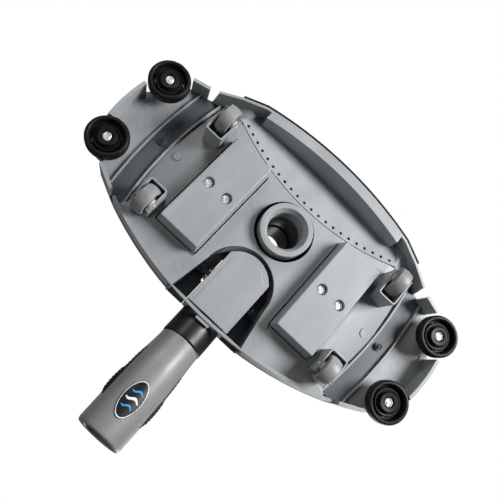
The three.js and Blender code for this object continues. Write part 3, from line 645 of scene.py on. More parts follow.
def arch_well():
    """The wall round the arch and the roof over it, with the slot that the handle swings up through."""
    wall = cut(prism(arch_outline(2.5, 96), PLATE_Z + 0.5, 90), prism(arch_outline(0, 120), PLATE_Z - 1, 91))
    roof = cut(
        prism(arch_outline(1, 96), 60, 90),
        dome(2.8),
        block(-SLOT_HALF, SLOT_HALF, SLOT_FRONT, 130, 50, 100),
        block(-SLOT_HALF - 2, SLOT_HALF + 2, PIVOT_Y - 9.5, PIVOT_Y + 9.5, 50, 100),
    )
    return within(join(wall, roof), dome(0.5))


def rounded_box(x, y, r, steps=6):
    """A rectangle with round corners, x and y its low and high limits."""
    right, left, rear, front = x[1] - r, x[0] + r, y[1] - r, y[0] + r
    corners = [(right, rear), (left, rear), (left, front), (right, front)]
    points = []
    for quarter, (cx, cy) in enumerate(corners):
        points += arc(cx, cy, r, quarter * math.pi / 2, (quarter + 1) * math.pi / 2, steps)
    return points


def cover_ring(sign, gap):
    """The outline of a weight cover's base, grown by gap."""
    low, high = sorted(sign * x for x in COVER_X)
    return rounded_box((low - gap, high + gap), (COVER_Y[0] - gap, COVER_Y[1] + gap), gap + 1)


def weight_moats():
    """The narrow groove that each weight cover's base stands in."""
    moats = []
    for sign in SIDES.values():
        island = prism(cover_ring(sign, -1.5), 20, 60)
        moat = cut(prism(cover_ring(sign, 1.2), PLATE_Z - 1, PLATE_Z + 2), island)
        moats.append(within(moat, block(-120, 120, BEAD_FRONT, 80, 20, 60)))
    return moats


def weight_frames():
    """The low moulded bead outside each groove."""
    frames = []
    for sign in SIDES.values():
        section = [(1.25, 0.2), (1.3, -1), (1.6, -1.35), (2, -1.2), (2.15, 0.2)]
        rings = [level(cover_ring(sign, gap), PLATE_Z + z) for gap, z in section]
        bead = rings_solid(rings, closed_tube=True)
        frames.append(within(bead, block(-120, 120, BEAD_FRONT - 1, 80, 20, 60)))
    return frames


def front_plate():
    seam = seam_arc(SEAM_R - 0.7, LIP_X + 18.8, 64)
    front = front_arc(FRONT_R - WALL - 0.9, LIP_X + 4.4, 64)
    slope = (EAVE_Z - PLATE_Z) / 45

    def surface(lift):
        def at(u, v):
            i = round(u * 64)
            x = seam[i][0] * (1 - v) + front[i][0] * v
            y = seam[i][1] * (1 - v) + front[i][1] * v
            fall = SEAM_R - math.hypot(x, y - SEAM_Y)
            return x, y, PLATE_Z + lift + slope * max(fall, 0)

        return at

    plate = grid_solid(surface(0), surface(WALL), 64, 6)
    outer = front_arc(FRONT_R - WALL + 0.3, LIP_X, 64)
    rim = front_arc(FRONT_R - LIP_WIDTH, LIP_X, 64)[::-1]
    base = front_arc(FRONT_R - LIP_WIDTH - 4, LIP_X, 64)[::-1]
    lip = taper(outer + rim, outer + base, RIM_Z + 0.06, EAVE_Z + 1)
    holes = []
    for i in range(HOLE_COUNT):
        angle = math.pi / 2 + (i - (HOLE_COUNT - 1) / 2) * HOLE_STEP
        x, y = HOLE_ROW_R * math.cos(angle), SEAM_Y + HOLE_ROW_R * math.sin(angle)
        holes.append(disc(1.65, PLATE_Z - 1, PLATE_TOP + 4, x, y, 20))
    body = cut(join(plate, lip), *holes)
    body = rounded(body, 0.3)
    return settle(body, "front_floor_plate", "head", GREY, ["front_plate"])


def bumper_strip():
    line = front_line(NOTCH_FRONT_RIM)[1:-1]
    body = prism(offset(line, -0.3) + offset(line, -2.2)[::-1], RIM_Z - 0.3, RIM_Z + 13)
    body = rounded(body, 0.5, 3)
    return settle(body, "lip_strip", "head", RUBBER, ["front_bumper_strip"])


def cover_outline():
    half = [(0, FRONT_Y)] + [p for p in front_line(NOTCH_FRONT_BASE) if p[0] > 1]
    half += [WING_NOTCH_FRONT, WING_FRONT_END]
    half += bumper_ear("front", WING_FRONT_END, WING_SIDE[0])
    half += WING_SIDE_LINE
    half += bumper_ear("rear", WING_SIDE[2], WING_REAR_END)
    half += [WING_REAR_END, WING_NOTCH_REAR]
    half += [p for p in REAR_LINE if p[0] > 1] + [(0, REAR_Y)]
    return half + mirrored(half[1:-1])


def wing_skirt_lines():
    return [[WING_NOTCH_FRONT, WING_FRONT_END], WING_SIDE_LINE, [WING_REAR_END, WING_NOTCH_REAR]]


def top_cover():
    outline = cover_outline()
    shell = within(prism(outline, SKIRT_TOP + 0.3, 90), dome(0))
    shell = cut(shell, within(prism(shrunk(outline, 2.6), 30, 90), dome(2.6)))
    channel = offset(RIB, -0.2) + offset(WING_RIB, 0.2)[::-1]
    floors = [
        within(prism(line, EAVE_Z, SKIRT_TOP + 1), block(-200, 200, -80, 66, 0, 90))
        for line in (channel, mirrored(channel))
    ]
    x, y = CHANNEL_SCREW
    bosses = [disc(4.2, EAVE_Z - 3, 66, sign * x, y) for sign in (-1, 1)]
    holes = [disc(1.7, EAVE_Z - 5, 62, sign * x, y, 24) for sign in (-1, 1)]
    port = disc(COLLAR_R + 6, 68, PORT_TOP, *PORT, 96)
    clearance = []
    for line in wing_skirt_lines():
        strip = band(offset(line, -0.3), WING_WALL + 0.6)
        clearance += [prism(strip, RIM_Z, SKIRT_TOP + 0.3), prism(mirrored(strip), RIM_Z, SKIRT_TOP + 0.3)]
    body = cut(
        join(shell, *floors, *bosses, port),
        prism(arch_outline(2.9, 130), 20, 90),
        disc(COLLAR_R + 1.5, 20, 90, *PORT, 96),
        *clearance,
        *holes,
    )
    return settle(body, "dome_cover", "head", COVER_GREY, ["top_cover"], sharp=30)


def wing(side):
    outline = [WING_RIB_LINE[0], WING_FRONT_END]
    outline += bumper_ear("front", WING_FRONT_END, WING_SIDE[0])
    outline += WING_SIDE_LINE
    outline += bumper_ear("rear", WING_SIDE[2], WING_REAR_END)
    outline += [WING_REAR_END, WING_RIB_LINE[2]] + WING_RIB[::-1][1:-1]
    floor = prism(outline, EAVE_Z, SKIRT_TOP)
    skirts = [prism(band(line, WING_WALL), RIM_Z, SKIRT_TOP) for line in wing_skirt_lines()]
    rib = prism(band(WING_RIB, -1.8), EAVE_Z - 3.5, SKIRT_TOP)
    ledge = prism(band(offset(WING_SIDE_LINE, WING_WALL - 0.5), 6.5), EAVE_Z - 1.6, EAVE_Z + 1)
    settle(by_side(ledge, side), f"wing_ledge_{side}", "head", GREY)
    sweeps = [disc(BUMPER_R + 1.2, 20, EAVE_Z - 3, x, y, 96) for x, y in BUMPERS.values()]
    body = cut(join(floor, *skirts, rib), *sweeps)
    boss_low = BUMPER_LOW + BUMPER_THICK + 1
    body = join(body, *[disc(9, boss_low, EAVE_Z + 1, x, y) for x, y in BUMPERS.values()])
    body = cut(body, *[disc(2.3, 20, SKIRT_TOP - 1, x, y, 24) for x, y in BUMPERS.values()])
    body = rounded(by_side(body, side), 0.4)
    return settle(body, f"end_wing_{side}", "head", GREY, [f"wing_{side}"])


def weight_cover(side):
    def ring(inset, z, r):
        shift = COVER_DRAFT * (PLATE_Z - z) / (PLATE_Z - COVER_BOTTOM)
        grown = inset + shift
        box = (COVER_X[0] + grown, COVER_X[1] - grown), (COVER_Y[0] + grown, COVER_Y[1] - grown)
        return level(rounded_box(*box, r), z)

    edge = 1.3
    rings = [ring(0, PLATE_Z - 0.3, 2)]
    for k in range(7):
        angle = math.pi / 2 * k / 6
        drop = edge * math.sin(angle)
        rings.append(ring(edge * (1 - math.cos(angle)), COVER_BOTTOM + edge - drop, 2))
    shell = rings_solid(rings)
    inner = rings_solid([ring(WALL, PLATE_Z + 1, 1), ring(WALL, COVER_BOTTOM + WALL, 1)])
    shell = cut(shell, inner)
    wells = [disc(7, COVER_BOTTOM + 1, COVER_BOTTOM + 7, x, COVER_SCREW_Y) for x in COVER_SCREWS]
    pocket = ((6.4, -0.2), (5.5, 0.7), (5.5, 4.2))
    pockets = []
    for x in COVER_SCREWS:
        rings = [
            level([(x + r * cx, COVER_SCREW_Y + r * cy) for cx, cy in circle(48)], COVER_BOTTOM + z)
            for r, z in pocket
        ]
        pockets.append(rings_solid(rings))
        pockets.append(disc(2.3, COVER_BOTTOM, PLATE_Z, x, COVER_SCREW_Y, 24))
    body = by_side(cut(join(shell, *wells), *pockets), side)
    name = f"weight_housing_{side}"
    return settle(body, name, "head", GREY, [f"weight_cover_{side}"], sharp=30)


# ---------------------------------------------------------------- small parts


def screw(node, name, material=None):
    """A pan-head screw with a cross recess, its head down."""
    low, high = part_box(node)
    centre = (low + high) / 2
    head = (high.x - low.x) / 2 / MM
    length = (high.z - low.z) / MM - 2.1
    tilts = [math.pi / 2 * k / 8 for k in range(1, 9)]
    crown = [(head * math.sin(a), 1.7 - 1.9 * math.cos(a)) for a in tilts]
    profile = [(0.01, -0.2), *crown, (head, 2.1), (head * 0.42, 2.1)]
    profile += [(head * 0.42, 2.1 + length - 1.5), (0.4, 2.1 + length)]
    profile = [(0, 0), *profile, (0, 0)]
    body = turned(profile, 48)
    dish = disc(head * 0.78, -1, 1.9, 0, 0, 32)
    arm = head * 0.28
    recess = [turned_about(block(-arm, arm, -0.35, 0.35, -1, 1.2), "Z", turn) for turn in (20, 110)]
    body = cut(body, dish)
    post = turned([(0, 0.2), (head * 0.4, 0.2), (head * 0.4, 2), (0, 2)], 32)
    body = cut(join(body, post), *recess)
    shifted(body, centre.x / MM, centre.y / MM + ORIGIN_Y, low.z / MM + 0.2)
    return settle(body, name, "head", material or STEEL, [node], sharp=30)


def bracket(end, side):
    y, way, closed, opened = ROLLERS[end]

    def loop(half, stop, finish):
        r = 3 if half == BRACKET_HALF else 1.6
        far = stop + way * r
        corner = [
            *arc(-half + r, far, r, math.pi, math.pi + way * math.pi / 2, 8),
            *arc(half - r, far, r, -way * math.pi / 2, 0, 8),
        ]
        return [(-half, finish), *corner, (half, finish)]

    outer = prism(loop(BRACKET_HALF, closed, opened), BRACKET_RIM, EAVE_Z)
    inner_half = BRACKET_HALF - BRACKET_WALL
    inner_loop = loop(inner_half, closed + way * BRACKET_WALL, opened + way * 5)
    inner = prism(inner_loop, BRACKET_RIM - 1, PLATE_Z - 2.4)
    body = cut(outer, inner)
    ears = [
        shifted(along_x(disc(4.6, -0.45, 0.45)), sign * (inner_half - 0.2), y, ROLLER_R)
        for sign in (-1, 1)
    ]
    hooks = [
        prism(
            [
                (sign * inner_half, opened - way * 2.4),
                (sign * BRACKET_HALF, opened - way * 2.4),
                (sign * (BRACKET_HALF + 0.3), opened + way * 0.6),
                (sign * (inner_half - 1.2), opened + way * 0.9),
                (sign * (inner_half - 1.2), opened - way * 0.4),
            ],
            BRACKET_RIM,
            BRACKET_RIM + 9,
        )
        for sign in (-1, 1)
    ]
    body = join(body, *ears)
    x = SIDES[side] * ROLLER_X
    bore = shifted(along_x(disc(2.2, -20, 20, 0, 0, 32)), 0, y, ROLLER_R)
    room = shifted(floor_underside(0.25, 90), -x)
    body = rounded(cut(body, bore, room), 0.35)
    body = gathered(body, *[rounded(hook, 0.25) for hook in hooks])
    shifted(body, x)
    name = f"roller_yoke_{end}_{side}"
    return settle(body, name, "head", GREY, [f"roller_bracket_{end}_{side}"])


def floor_roller(end, side):
    half = ROLLER_WIDTH / 2
    r = ROLLER_R
    flank = half - 1.2
    crown = [(r - 0.9 * (z / flank) ** 2, z) for z in [flank * k / 8 for k in range(-8, 9)]]
    turns = (0.4, 0.8, 1.2, math.pi / 2)
    shoulder = [(r - 0.9 - 1.3 * (1 - math.cos(a)), flank + 1.2 * math.sin(a)) for a in turns]
    top = [(r - 4.4, half), (r - 5.2, half - 0.8), (6.6, half - 0.8), (6, half), (2.2, half)]
    upper = [p for p in crown if p[1] > 0] + shoulder + top
    profile = [(2.2, -half), *[(pr, -z) for pr, z in reversed(upper[:-1])], (r, 0), *upper]
    body = along_x(turned(profile, 96))
    y = ROLLERS[end][0]
    shifted(body, SIDES[side] * ROLLER_X, y, ROLLER_R)
    name = f"barrel_roller_{end}_{side}"
    body_name = f"roller_{end}_{side}"
    return settle(body, name, body_name, ROLLER_GREY, [f"floor_roller_{end}_{side}"], sharp=30)


def roller_axle(end, side):
    tip = BRACKET_HALF + 0.6
    near = ROLLER_WIDTH / 2 + 0.3
    far = BRACKET_HALF - BRACKET_WALL - 0.3
    half = [(2, near), (5.2, near), (6.1, near + 0.4), (6.1, far - 0.3), (5.8, far), (2, far)]
    half += [(2, tip - 0.4), (1.6, tip)]
    profile = [(0, 0), *[(r, -z) for r, z in reversed(half)], *half, (0, 0)]
    body = along_x(turned(profile, 64))
    shifted(body, SIDES[side] * ROLLER_X, ROLLERS[end][0], ROLLER_R)
    name = f"axle_pin_{end}_{side}"
    return settle(body, name, "head", STEEL, [f"roller_axle_{end}_{side}"], sharp=30)


def rounded_profile(points, r, steps=5):
    """A closed profile with each corner cut by a short curve of about radius r."""
    out = []
    for i, p in enumerate(points):
        p = Vector(p)
        before, after = Vector(points[i - 1]), Vector(points[(i + 1) % len(points)])
        reach_before = min(r, (before - p).length * 0.45)
        reach_after = min(r, (after - p).length * 0.45)
        a = p + (before - p).normalized() * reach_before
        b = p + (after - p).normalized() * reach_after
        for k in range(steps + 1):
            t = k / steps
            out.append(tuple(a * (1 - t) ** 2 + p * 2 * t * (1 - t) + b * t * t))
    return out


def bumper_wheel(end, side):
    x, y = BUMPERS[end]
    h, r = BUMPER_THICK, BUMPER_R
    tyre_profile = [
        (14.6, 7.2),
        (16.4, 7.2),
        (17.1, 1.6),
        (18.2, 0.1),
        (20.6, 0.2),
        (r, 2.4),
        (r, h - 2.4),
        (20.6, h - 0.2),
        (17.4, h - 0.1),
        (14.6, h - 2),
    ]
    tyre = turned(rounded_profile(tyre_profile, 0.9), 128)
    hub_profile = [
        (2.9, 3.4),
        (5.3, 3.4),
        (5.5, 1.3),
        (9.3, 0.9),
        (10.3, 2.2),
        (10.4, 5.8),
        (11.2, 5.8),
        (11.4, 5.2),
        (13.4, 4.8),
        (14.4, 5.3),
        (14.5, h - 2),
        (2.9, h - 2),
    ]
    hub = turned(rounded_profile(hub_profile, 0.5, 3), 128)
    for body in (tyre, hub):
        shifted(body, SIDES[side] * x, y, BUMPER_LOW)
    place = f"{end}_{side}"
    wheel = f"wheel_{place}"
    settle(tyre, f"wheel_tyre_{place}", wheel, RUBBER, [f"bumper_tyre_{place}"], sharp=45)
    settle(hub, f"wheel_hub_{place}", wheel, BLACK, [f"bumper_hub_{place}"], sharp=45)


# ---------------------------------------------------------------- hose swivel


def at_port(obj):
    return shifted(obj, *PORT)


def suction_collar():
    low = PLATE_Z - 9.6
    profile = [
        (COLLAR_R, low),
        (COLLAR_R, PLATE_TOP + 14),
        (BORE_R + 3.2, PLATE_TOP + 14),
        (BORE_R + 3.2, PLATE_TOP + 12),
        (BORE_R, PLATE_TOP + 12),
        (BORE_R, low + 6),
        (22.6, low),
    ]
    body = at_port(turned(rounded_profile(profile, 0.7, 4), 160))
    return settle(body, "collar", "swivel", GREY, ["suction_collar"], sharp=45)


def swivel_connector():
    base = PLATE_TOP + 12.4
    flange = PORT_TOP + 4.2
    foot_profile = [
        (BORE_R, base),
        (BORE_R + 2.9, base),
        (BORE_R + 2.9, base + 2),
        (BORE_R + 5.5, base + 4),
        (BORE_R + 5.5, PORT_TOP - 4),
        (COLLAR_R - 0.4, PORT_TOP - 4),
        (COLLAR_R - 0.4, PORT_TOP - 0.4),
        (BORE_R + 5.4, PORT_TOP - 0.4),
        (BORE_R + 5.4, flange),
        (HOSE_R + 1.5, flange + 4),
        (BORE_R - 1, flange + 4),
        (BORE_R - 1, flange),
        (BORE_R, flange - 6),
    ]
    foot = turned(rounded_profile(foot_profile, 0.5, 2), 96)
    length = CONNECTOR_TOP - flange
    ridges = []
    for z in (11, 16, 21):
        ridges += [(HOSE_R, z), (HOSE_R + 0.9, z + 0.7), (HOSE_R, z + 3)]
    neck_profile = [(HOSE_BORE_R, 0), (HOSE_R + 1.4, 0), (HOSE_R + 1.4, 7), (HOSE_R, 8), *ridges]
    neck_profile += [(HOSE_R, length - 1.5), (HOSE_R - 1, length), (HOSE_BORE_R, length)]
    neck = turned(neck_profile, 96)
    bore = disc(HOSE_BORE_R, -6, 10, 0, 0, 96)
    for part in (neck, bore):
        turned_about(part, "X", -math.degrees(CONNECTOR_LEAN))
        shifted(part, 0, 0, flange - 1)
    body = at_port(cut(join(foot, neck), bore))
    return settle(body, "hose_neck", "swivel", NECK_GREY, ["swivel_connector"], sharp=35)


def retaining_ring():
    profile = [
        (BORE_R + 5.8, PORT_TOP + 0.3),
        (COLLAR_R + 5, PORT_TOP + 0.3),
        (COLLAR_R + 4, PORT_TOP + 3.6),
        (BORE_R + 5.8, PORT_TOP + 3.6),
    ]
    body = turned(rounded_profile(profile, 0.7, 4), 128)
    notches = []
    for k in range(8):
        notch = block(COLLAR_R + 3.6, COLLAR_R + 6, -2, 2, PORT_TOP + 1.4, PORT_TOP + 5)
        notches.append(turned_about(notch, "Z", 45 * k + 22.5))
    body = at_port(cut(body, *notches))
    return settle(body, "port_ring", "head", COVER_GREY, ["retaining_ring"])


# ---------------------------------------------------------------- handle

HANDLE = Matrix.Translation((0, PIVOT_Y, PIVOT_Z)) @ Matrix.Rotation(-DROOP, 4, "X")
ALONG_Y = Matrix.Rotation(-math.pi / 2, 4, "X")

SLEEVE_PROFILE = [(21.6, 75.5), (21.8, 84), (22.6, 96), (23.5, 110), (23.9, 125)]
SLEEVE_PROFILE += [(23.9, 155), (23.6, 183), (22.7, 186)]


def sleeve_r(s):
    """The sleeve's outer radius at a distance from the pivot."""
    for (r0, s0), (r1, s1) in zip(SLEEVE_PROFILE, SLEEVE_PROFILE[1:]):
        if s <= s1:
            share = (s - s0) / (s1 - s0)
            return r0 + (r1 - r0) * share
    return SLEEVE_PROFILE[-1][0]


def on_handle(obj):
    return moved(obj, HANDLE)


def handle_yoke():
    nose = arc_through((-TONGUE_HALF, 29), (0, 15.5), (TONGUE_HALF, 29), 40)
    outline = [*nose, (TONGUE_HALF, 92), (-TONGUE_HALF, 92)]
    inner = [*arc_through((-22.8, 31), (0, 18.5), (22.8, 31), 40), (22.8, 95), (-22.8, 95)]
    plate = prism(outline, TONGUE_Z, TONGUE_Z + WALL)
    skirt = cut(prism(outline, TONGUE_Z, TONGUE_Z + 9), prism(inner, TONGUE_Z + WALL, 60))
    cheek = [(30, 35.5), (30, 44), (42, 68), (48, 73), (54.5, 75), (64, 73.5), (96, 68), (97, 62), (92, 35.5)]
    cheeks = [
        rings_solid([[(x, y, z) for y, z in cheek] for x in pair])
        for pair in ((-TONGUE_HALF, -CHEEK_INNER), (CHEEK_INNER, TONGUE_HALF))
    ]
    shoulder = moved(disc(TUBE_R + 0.8, 36, TUBE_START - 0.3, 0, 0, 96), HANDLE @ ALONG_Y)
    shoulder = within(shoulder, block(-40, 40, 0, 130, TONGUE_Z, 120))
    plug = moved(disc(18.5, 38, 64, 0, 0, 96), HANDLE @ ALONG_Y)
    bore = moved(disc(15.5, 30, 70, 0, 0, 96), HANDLE @ ALONG_Y)
    hollow = block(-CHEEK_INNER, CHEEK_INNER, 34, 86, TONGUE_Z + WALL, 60)
    bosses = []
    for side in (-1, 1):
        boss = turned_about(disc(7, 20, TONGUE_HALF), "Y", 90 * side)
        bosses.append(shifted(boss, 0, PIVOT_Y, PIVOT_Z))
    pin_hole = shifted(along_x(disc(PIN_HOLE_R, -30, 30, 0, 0, 32)), 0, PIVOT_Y, PIVOT_Z)
    body = join(cut(join(shoulder, plug), bore, hollow), plate, skirt, *cheeks, *bosses)
    body = rounded(cut(body, pin_hole), 0.5)
    settle(body, "tilt_yoke", "handle", GREY, ["handle_yoke"])
    panel = []
    for half, inset, lift in ((20.8, 0, 0.2), (20.8, 0, -0.1), (20.2, 0.6, -0.5)):
        front = arc_through((-half, 33), (0, 21.4 + inset), (half, 33), 40)
        panel.append(level([*front, (half, 91.5), (-half, 91.5)], TONGUE_Z + lift))
    settle(rings_solid(panel), "yoke_panel", "handle", GREY, sharp=60)


def pivot_pin(side):
    profile = [(0, 21), (2.6, 21), (3, 21.4), (3, 32.8), (4.3, 32.8), (4.6, 33.1)]
    profile += [(4.6, 34.3), (4.3, 34.6), (3, 34.6), (3, 43.1), (2.6, 43.5), (0, 43.5)]
    body = shifted(along_x(turned(profile, 48)), 0, PIVOT_Y, PIVOT_Z)
    return settle(by_side(body, side), f"hinge_pin_{side}", "head", PIN_STEEL, [f"pivot_pin_{side}"])


def pivot_clip(side):
    """A round clip on the pin, with two studs."""
    x = TONGUE_HALF + 0.3
    plate = turned([(3.6, x), (8.5, x), (8.5, x + 1.6), (3.6, x + 1.6)], 64)
    studs = [disc(1.5, x + 0.8, x + 4.2, 0, dy, 24) for dy in (-5.6, 5.6)]
    body = shifted(along_x(rounded(join(plate, *studs), 0.25)), 0, PIVOT_Y, PIVOT_Z)
    body = by_side(body, side)
    return settle(body, f"hinge_clip_{side}", "handle", PIN_STEEL, [f"pivot_clip_{side}"])


def handle_tube():
    profile = [
        (SPIGOT_HOLE_R, TUBE_START),
        (TUBE_R - 0.9, TUBE_START),
        (TUBE_R, TUBE_START + 1),
        (TUBE_R, SEAM_S - 1.2),
        (TUBE_R - 0.7, SEAM_S - 0.3),
        (SPIGOT_R, SEAM_S - 0.3),
        (SPIGOT_R, SPIGOT_END),
        (POLE_BORE_R, SPIGOT_END),
        (POLE_BORE_R, 68),
        (SPIGOT_HOLE_R, 66),
    ]
    body = on_handle(moved(turned(rounded_profile(profile, 0.35, 3), 128), ALONG_Y))
    return settle(body, "handle_neck", "handle", TUBE_BLACK, ["handle_tube"], sharp=40)


def handle_sleeve():
    outer = [(sleeve_r(s), s) for s in [SEAM_S + 1 + k * 2 for k in range(54)]]
    profile = [(20.9, SEAM_S), *outer, (22.9, SLEEVE_END - 0.7), (22.0, SLEEVE_END), (16.9, SLEEVE_END)]
    profile += [(POLE_BORE_R, SLEEVE_END - 0.9), (POLE_BORE_R, SPIGOT_END + 0.3)]
    profile += [(SPIGOT_HOLE_R, SPIGOT_END + 0.3), (SPIGOT_HOLE_R, SEAM_S)]
    body = moved(turned(profile, 128), ALONG_Y)
    recesses = []
    for side in (-1, 1):
        button_span = (BUTTON_S[0] - 0.3, BUTTON_S[1] + 0.3)
        for floor_x, span, half in (
            (GRIP_FLOOR_X, GRIP_S, GRIP_HALF),
            (BUTTON_FLOOR_X, button_span, BUTTON_HALF),
        ):
            x = sorted((side * floor_x, side * 30))
            recesses.append(block(*x, *span, -half, half))
    body = rounded(cut(body, *recesses), 0.25)
    return settle(on_handle(body), "pole_sleeve", "handle", SLEEVE_GREY, ["handle_sleeve"])


def patch(span, half, floor_x, rise, ribs, columns=80, rows=24):
    """A pad on the sleeve's +x side: its face follows the sleeve, bulges by rise and carries ribs across."""
    middle, reach = (span[0] + span[1]) / 2, (span[1] - span[0]) / 2

    def outline(u, v):
        a, b = 2 * u - 1, 2 * v - 1
        return a * math.sqrt(1 - 0.06 * b * b), b * math.sqrt(1 - 0.10 * a**6)

    def face(u, v):
        a, b = outline(u, v)
        s, up = middle + a * reach, b * half
        radius = sleeve_r(s)
        edge = min(1, (1 - max(abs(2 * u - 1), abs(2 * v - 1))) * 6)
        bulge = rise * (1 - 0.5 * a * a) * (1 - 0.25 * b * b)
        wave = 0.45 * math.cos(2 * math.pi * ribs * u) * edge if ribs else 0
        out = radius + bulge * (0.45 + 0.55 * math.sqrt(edge)) + wave * 0.5 - 0.25 * abs(wave)
        return math.sqrt(max(out * out - up * up, 1)), s, up

    def floor(u, v):
        a, b = outline(u, v)
        return floor_x, middle + a * reach, b * half

    return grid_solid(floor, face, columns, rows)


def side_grip(side):
    body = patch((GRIP_S[0] + 0.3, GRIP_S[1] - 0.3), GRIP_HALF - 0.3, GRIP_FLOOR_X + 0.3, 0.65, 14, 120, 20)
    body = cut(body, block(15, 35, BUTTON_S[0] - 0.3, BUTTON_S[1] + 0.3, -BUTTON_HALF, BUTTON_HALF))
    body = on_handle(by_side(body, side))
    return settle(body, f"grip_pad_{side}", "handle", GRIP, [f"side_grip_{side}"], sharp=50)


def lock_button(side):
    body = patch(BUTTON_S, 6, 20.2, 2.4, 8, 96, 20)
    pocket = shifted(along_x(disc(3.6, 19, 24.2, 0, 0, 32)), 0, sum(BUTTON_S) / 2, 0)
    body = on_handle(by_side(cut(body, pocket), side))
    name = f"release_button_{side}"
    return settle(body, name, f"button_{side}", BLACK, [f"lock_button_{side}"], sharp=50)


def on_sleeve(across, s, lift):
    """A point on the sleeve's underside, across from its middle line, lift above the surface."""
    r = sleeve_r(s) + lift
    return across, s, -math.sqrt(r * r - across * across)


def badge():
    """An oval badge with a pale rim and three generic waves."""
    half_x, half_s = 9.8, 19.55

    def outline(scale, lift):
        points = [(half_x * scale * x, BADGE_S + half_s * scale * y) for x, y in circle(96)]
        return [on_sleeve(across, along, lift) for across, along in points]

    def oval(scale, lift_low, lift_high, dome_height):
        levels = [(1, lift_low), (1, lift_high - 0.15), (0.985, lift_high)]
        levels += [(k / 8, lift_high + dome_height * (1 - (k / 8) ** 2)) for k in range(7, 0, -1)]
        return rings_solid([outline(scale * share, lift) for share, lift in levels])

    def ring(outer, inner, low, high):
        levels = ((outer, low), (outer, high), (inner, high), (inner, low))
        return rings_solid([outline(scale, lift) for scale, lift in levels], closed_tube=True)

    def wave(centre_s, reach, thick):
        def line(lift):
            def at(u, v):
                across = (2 * u - 1) * reach
                crest = 1.5 * math.sin(2 * math.pi * u + 0.6)
                width = thick * (0.35 + 0.65 * math.sin(math.pi * min(max(u, 0.02), 0.98)))
                s = centre_s + crest + (v - 0.5) * width
                return on_sleeve(across, s, lift)

            return at

        return grid_solid(line(0.7), line(0.98), 40, 2)

    face = on_handle(oval(1, 0.3, 0.72, 0.12))
    settle(face, "badge_face", "handle", TUBE_BLACK, ["badge"], sharp=50)
    rim = on_handle(ring(0.97, 0.92, 0.4, 0.88))
    settle(rim, "badge_rim", "handle", BADGE_PALE, sharp=50)
    blue = gathered(wave(BADGE_S + 7.4, 5.6, 2.2), wave(BADGE_S - 7.6, 5.8, 2.2))
    settle(on_handle(blue), "badge_waves_blue", "handle", BADGE_BLUE, sharp=50)
    settle(on_handle(wave(BADGE_S, 6.6, 3)), "badge_wave_pale", "handle", BADGE_PALE, sharp=50)


# ---------------------------------------------------------------- mould marks


def mark(x, y, z, r=5, slope=0):
    """The witness of an ejector pin, on a face that looks down and rises slope degrees along x."""
    profile = [(0, 0.3), (r, 0.3), (r, -0.2), (r - 0.45, -0.2), (r - 0.6, -0.04), (0, -0.04)]
    return shifted(turned_about(turned(profile, 48), "Y", -slope), x, y, z)


def mould_marks():
    front = mark(0, 0, 0)
    turned_about(front, "X", -math.degrees(math.atan((EAVE_Z - PLATE_Z) / 45)))
    marks = [shifted(front, 0, -91, PLATE_Z + 10.3)]
    for sign in SIDES.values():
        marks += [mark(sign * 41, -25.5, PLATE_Z), mark(sign * 53, 75, PLATE_Z)]
        marks += [mark(sign * 183, -6, EAVE_Z), mark(sign * 132.7, -8.4, PLATE_Z + 7.5, slope=sign * 22)]
    settle(gathered(*marks), "mould_marks", "head", GREY, sharp=30)
    settle(mark(1, 26, TONGUE_Z, 5.5), "yoke_mould_mark", "handle", GREY, sharp=30)


# ---------------------------------------------------------------- assembly of the object

main_housing()
front_plate()
bumper_strip()
top_cover()
for side in SIDES:
    wing(side)
    weight_cover(side)
    pivot_pin(side)
    pivot_clip(side)
    side_grip(side)
    lock_button(side)
    screw(f"channel_screw_{side}", f"channel_fixing_{side}", COVER_GREY)
    for number in (1, 2):
        screw(f"cover_screw_{side}_{number}", f"cover_fixing_{side}_{number}")
    for end in ROLLERS:
        bracket(end, side)
        floor_roller(end, side)
        roller_axle(end, side)
        bumper_wheel(end, side)
        screw(f"bumper_screw_{end}_{side}", f"wheel_fixing_{end}_{side}")
suction_collar()
swivel_connector()
retaining_ring()
handle_yoke()
handle_tube()
handle_sleeve()
badge()
mould_marks()

for node, finish in (("ballast_weight", IRON), ("button_spring", STEEL)):
    for side in SIDES:
        kept = frame["nodes"][f"{node}_{side}"]
        kept.data.materials.clear()
        kept.data.materials.append(finish)

# ---------------------------------------------------------------- stage, lights and camera

FLOOR_HALF = 6


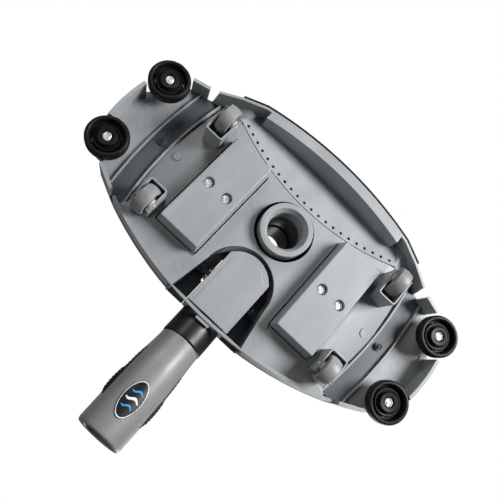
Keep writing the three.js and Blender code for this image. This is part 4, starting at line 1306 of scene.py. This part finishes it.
def pale_floor():
    """A pale floor under the rollers that is only there for a viewer above it."""
    mesh = bpy.data.meshes.new("floor")
    corners = [(-FLOOR_HALF, -FLOOR_HALF, 0), (FLOOR_HALF, -FLOOR_HALF, 0), (FLOOR_HALF, FLOOR_HALF, 0)]
    mesh.from_pydata([*corners, (-FLOOR_HALF, FLOOR_HALF, 0)], [], [(0, 1, 2, 3)])
    floor = bpy.data.objects.new("floor", mesh)
    bpy.context.scene.collection.objects.link(floor)
    material, tree, shader = nodes_of("floor_paper")
    looks = {"Base Color": (0.5, 0.5, 0.5, 1), "Roughness": 0.8, "Specular IOR Level": 0.1}
    looks |= {"Emission Color": (1, 1, 1, 1), "Emission Strength": 0.6}
    for key, value in looks.items():
        shader.inputs[key].default_value = value
    behind = add_node(tree, "NewGeometry").outputs["Backfacing"]
    clear = add_node(tree, "BsdfTransparent").outputs["BSDF"]
    mix = add_node(tree, "MixShader", links={"Fac": behind, 1: shader.outputs["BSDF"], 2: clear})
    tree.links.new(mix.outputs["Shader"], tree.nodes["Material Output"].inputs["Surface"])
    mesh.materials.append(material)
    for kind in ("visible_diffuse", "visible_glossy", "visible_transmission", "visible_shadow"):
        setattr(floor, kind, False)


def area_light(name, place, target, size, power):
    data = bpy.data.lights.new(name, "AREA")
    data.shape = "DISK"
    data.size = size
    data.energy = power
    light = bpy.data.objects.new(name, data)
    bpy.context.scene.collection.objects.link(light)
    light.location = place
    light.rotation_mode = "QUATERNION"
    light.rotation_quaternion = (Vector(target) - Vector(place)).to_track_quat("-Z", "Y")


def camera():
    """The camera looks up at the underside, turned so that the handle points down and to the left."""
    right = Vector((0.72542, -0.65470, -0.21242))
    up = Vector((-0.68777, -0.70161, -0.18633))
    back = right.cross(up)
    data = bpy.data.cameras.new("camera")
    data.lens = 39.0
    data.sensor_width = 36
    data.clip_start = 0.01
    made = bpy.data.objects.new("camera", data)
    bpy.context.scene.collection.objects.link(made)
    turn = Matrix((right, up, back)).transposed().to_4x4()
    made.matrix_world = Matrix.Translation((-0.02781, 0.10968, -0.48751)) @ turn
    bpy.context.scene.camera = made


def world(seen, light):
    """An even surround, brighter to the camera than as a light."""
    made = bpy.data.worlds.new("studio")
    made.use_nodes = True
    tree = made.node_tree
    camera_ray = add_node(tree, "LightPath").outputs["Is Camera Ray"]
    background = tree.nodes["Background"]
    tree.links.new(ramp(tree, camera_ray, light, seen, 0, 1), background.inputs["Strength"])
    background.inputs["Color"].default_value = (1, 1, 1, 1)
    bpy.context.scene.world = made


pale_floor()
area_light("key_below", (0.75, -0.75, -0.8), (0, 0, 0.03), 0.6, 35)
area_light("second_below", (-1.0, -1.0, -0.9), (0, 0, 0.03), 0.6, 9)
area_light("fill_below", (-0.8, 0.9, -0.7), (0, 0, 0.03), 1.0, 4)
area_light("key_above", (-0.7, -0.9, 1.2), (0, 0, 0.05), 0.8, 34)
area_light("fill_above", (0.9, 0.7, 1.0), (0, 0, 0.05), 1.0, 14)
camera()
world(seen=1.0, light=0.1)
bpy.context.scene.view_settings.view_transform = "Standard"
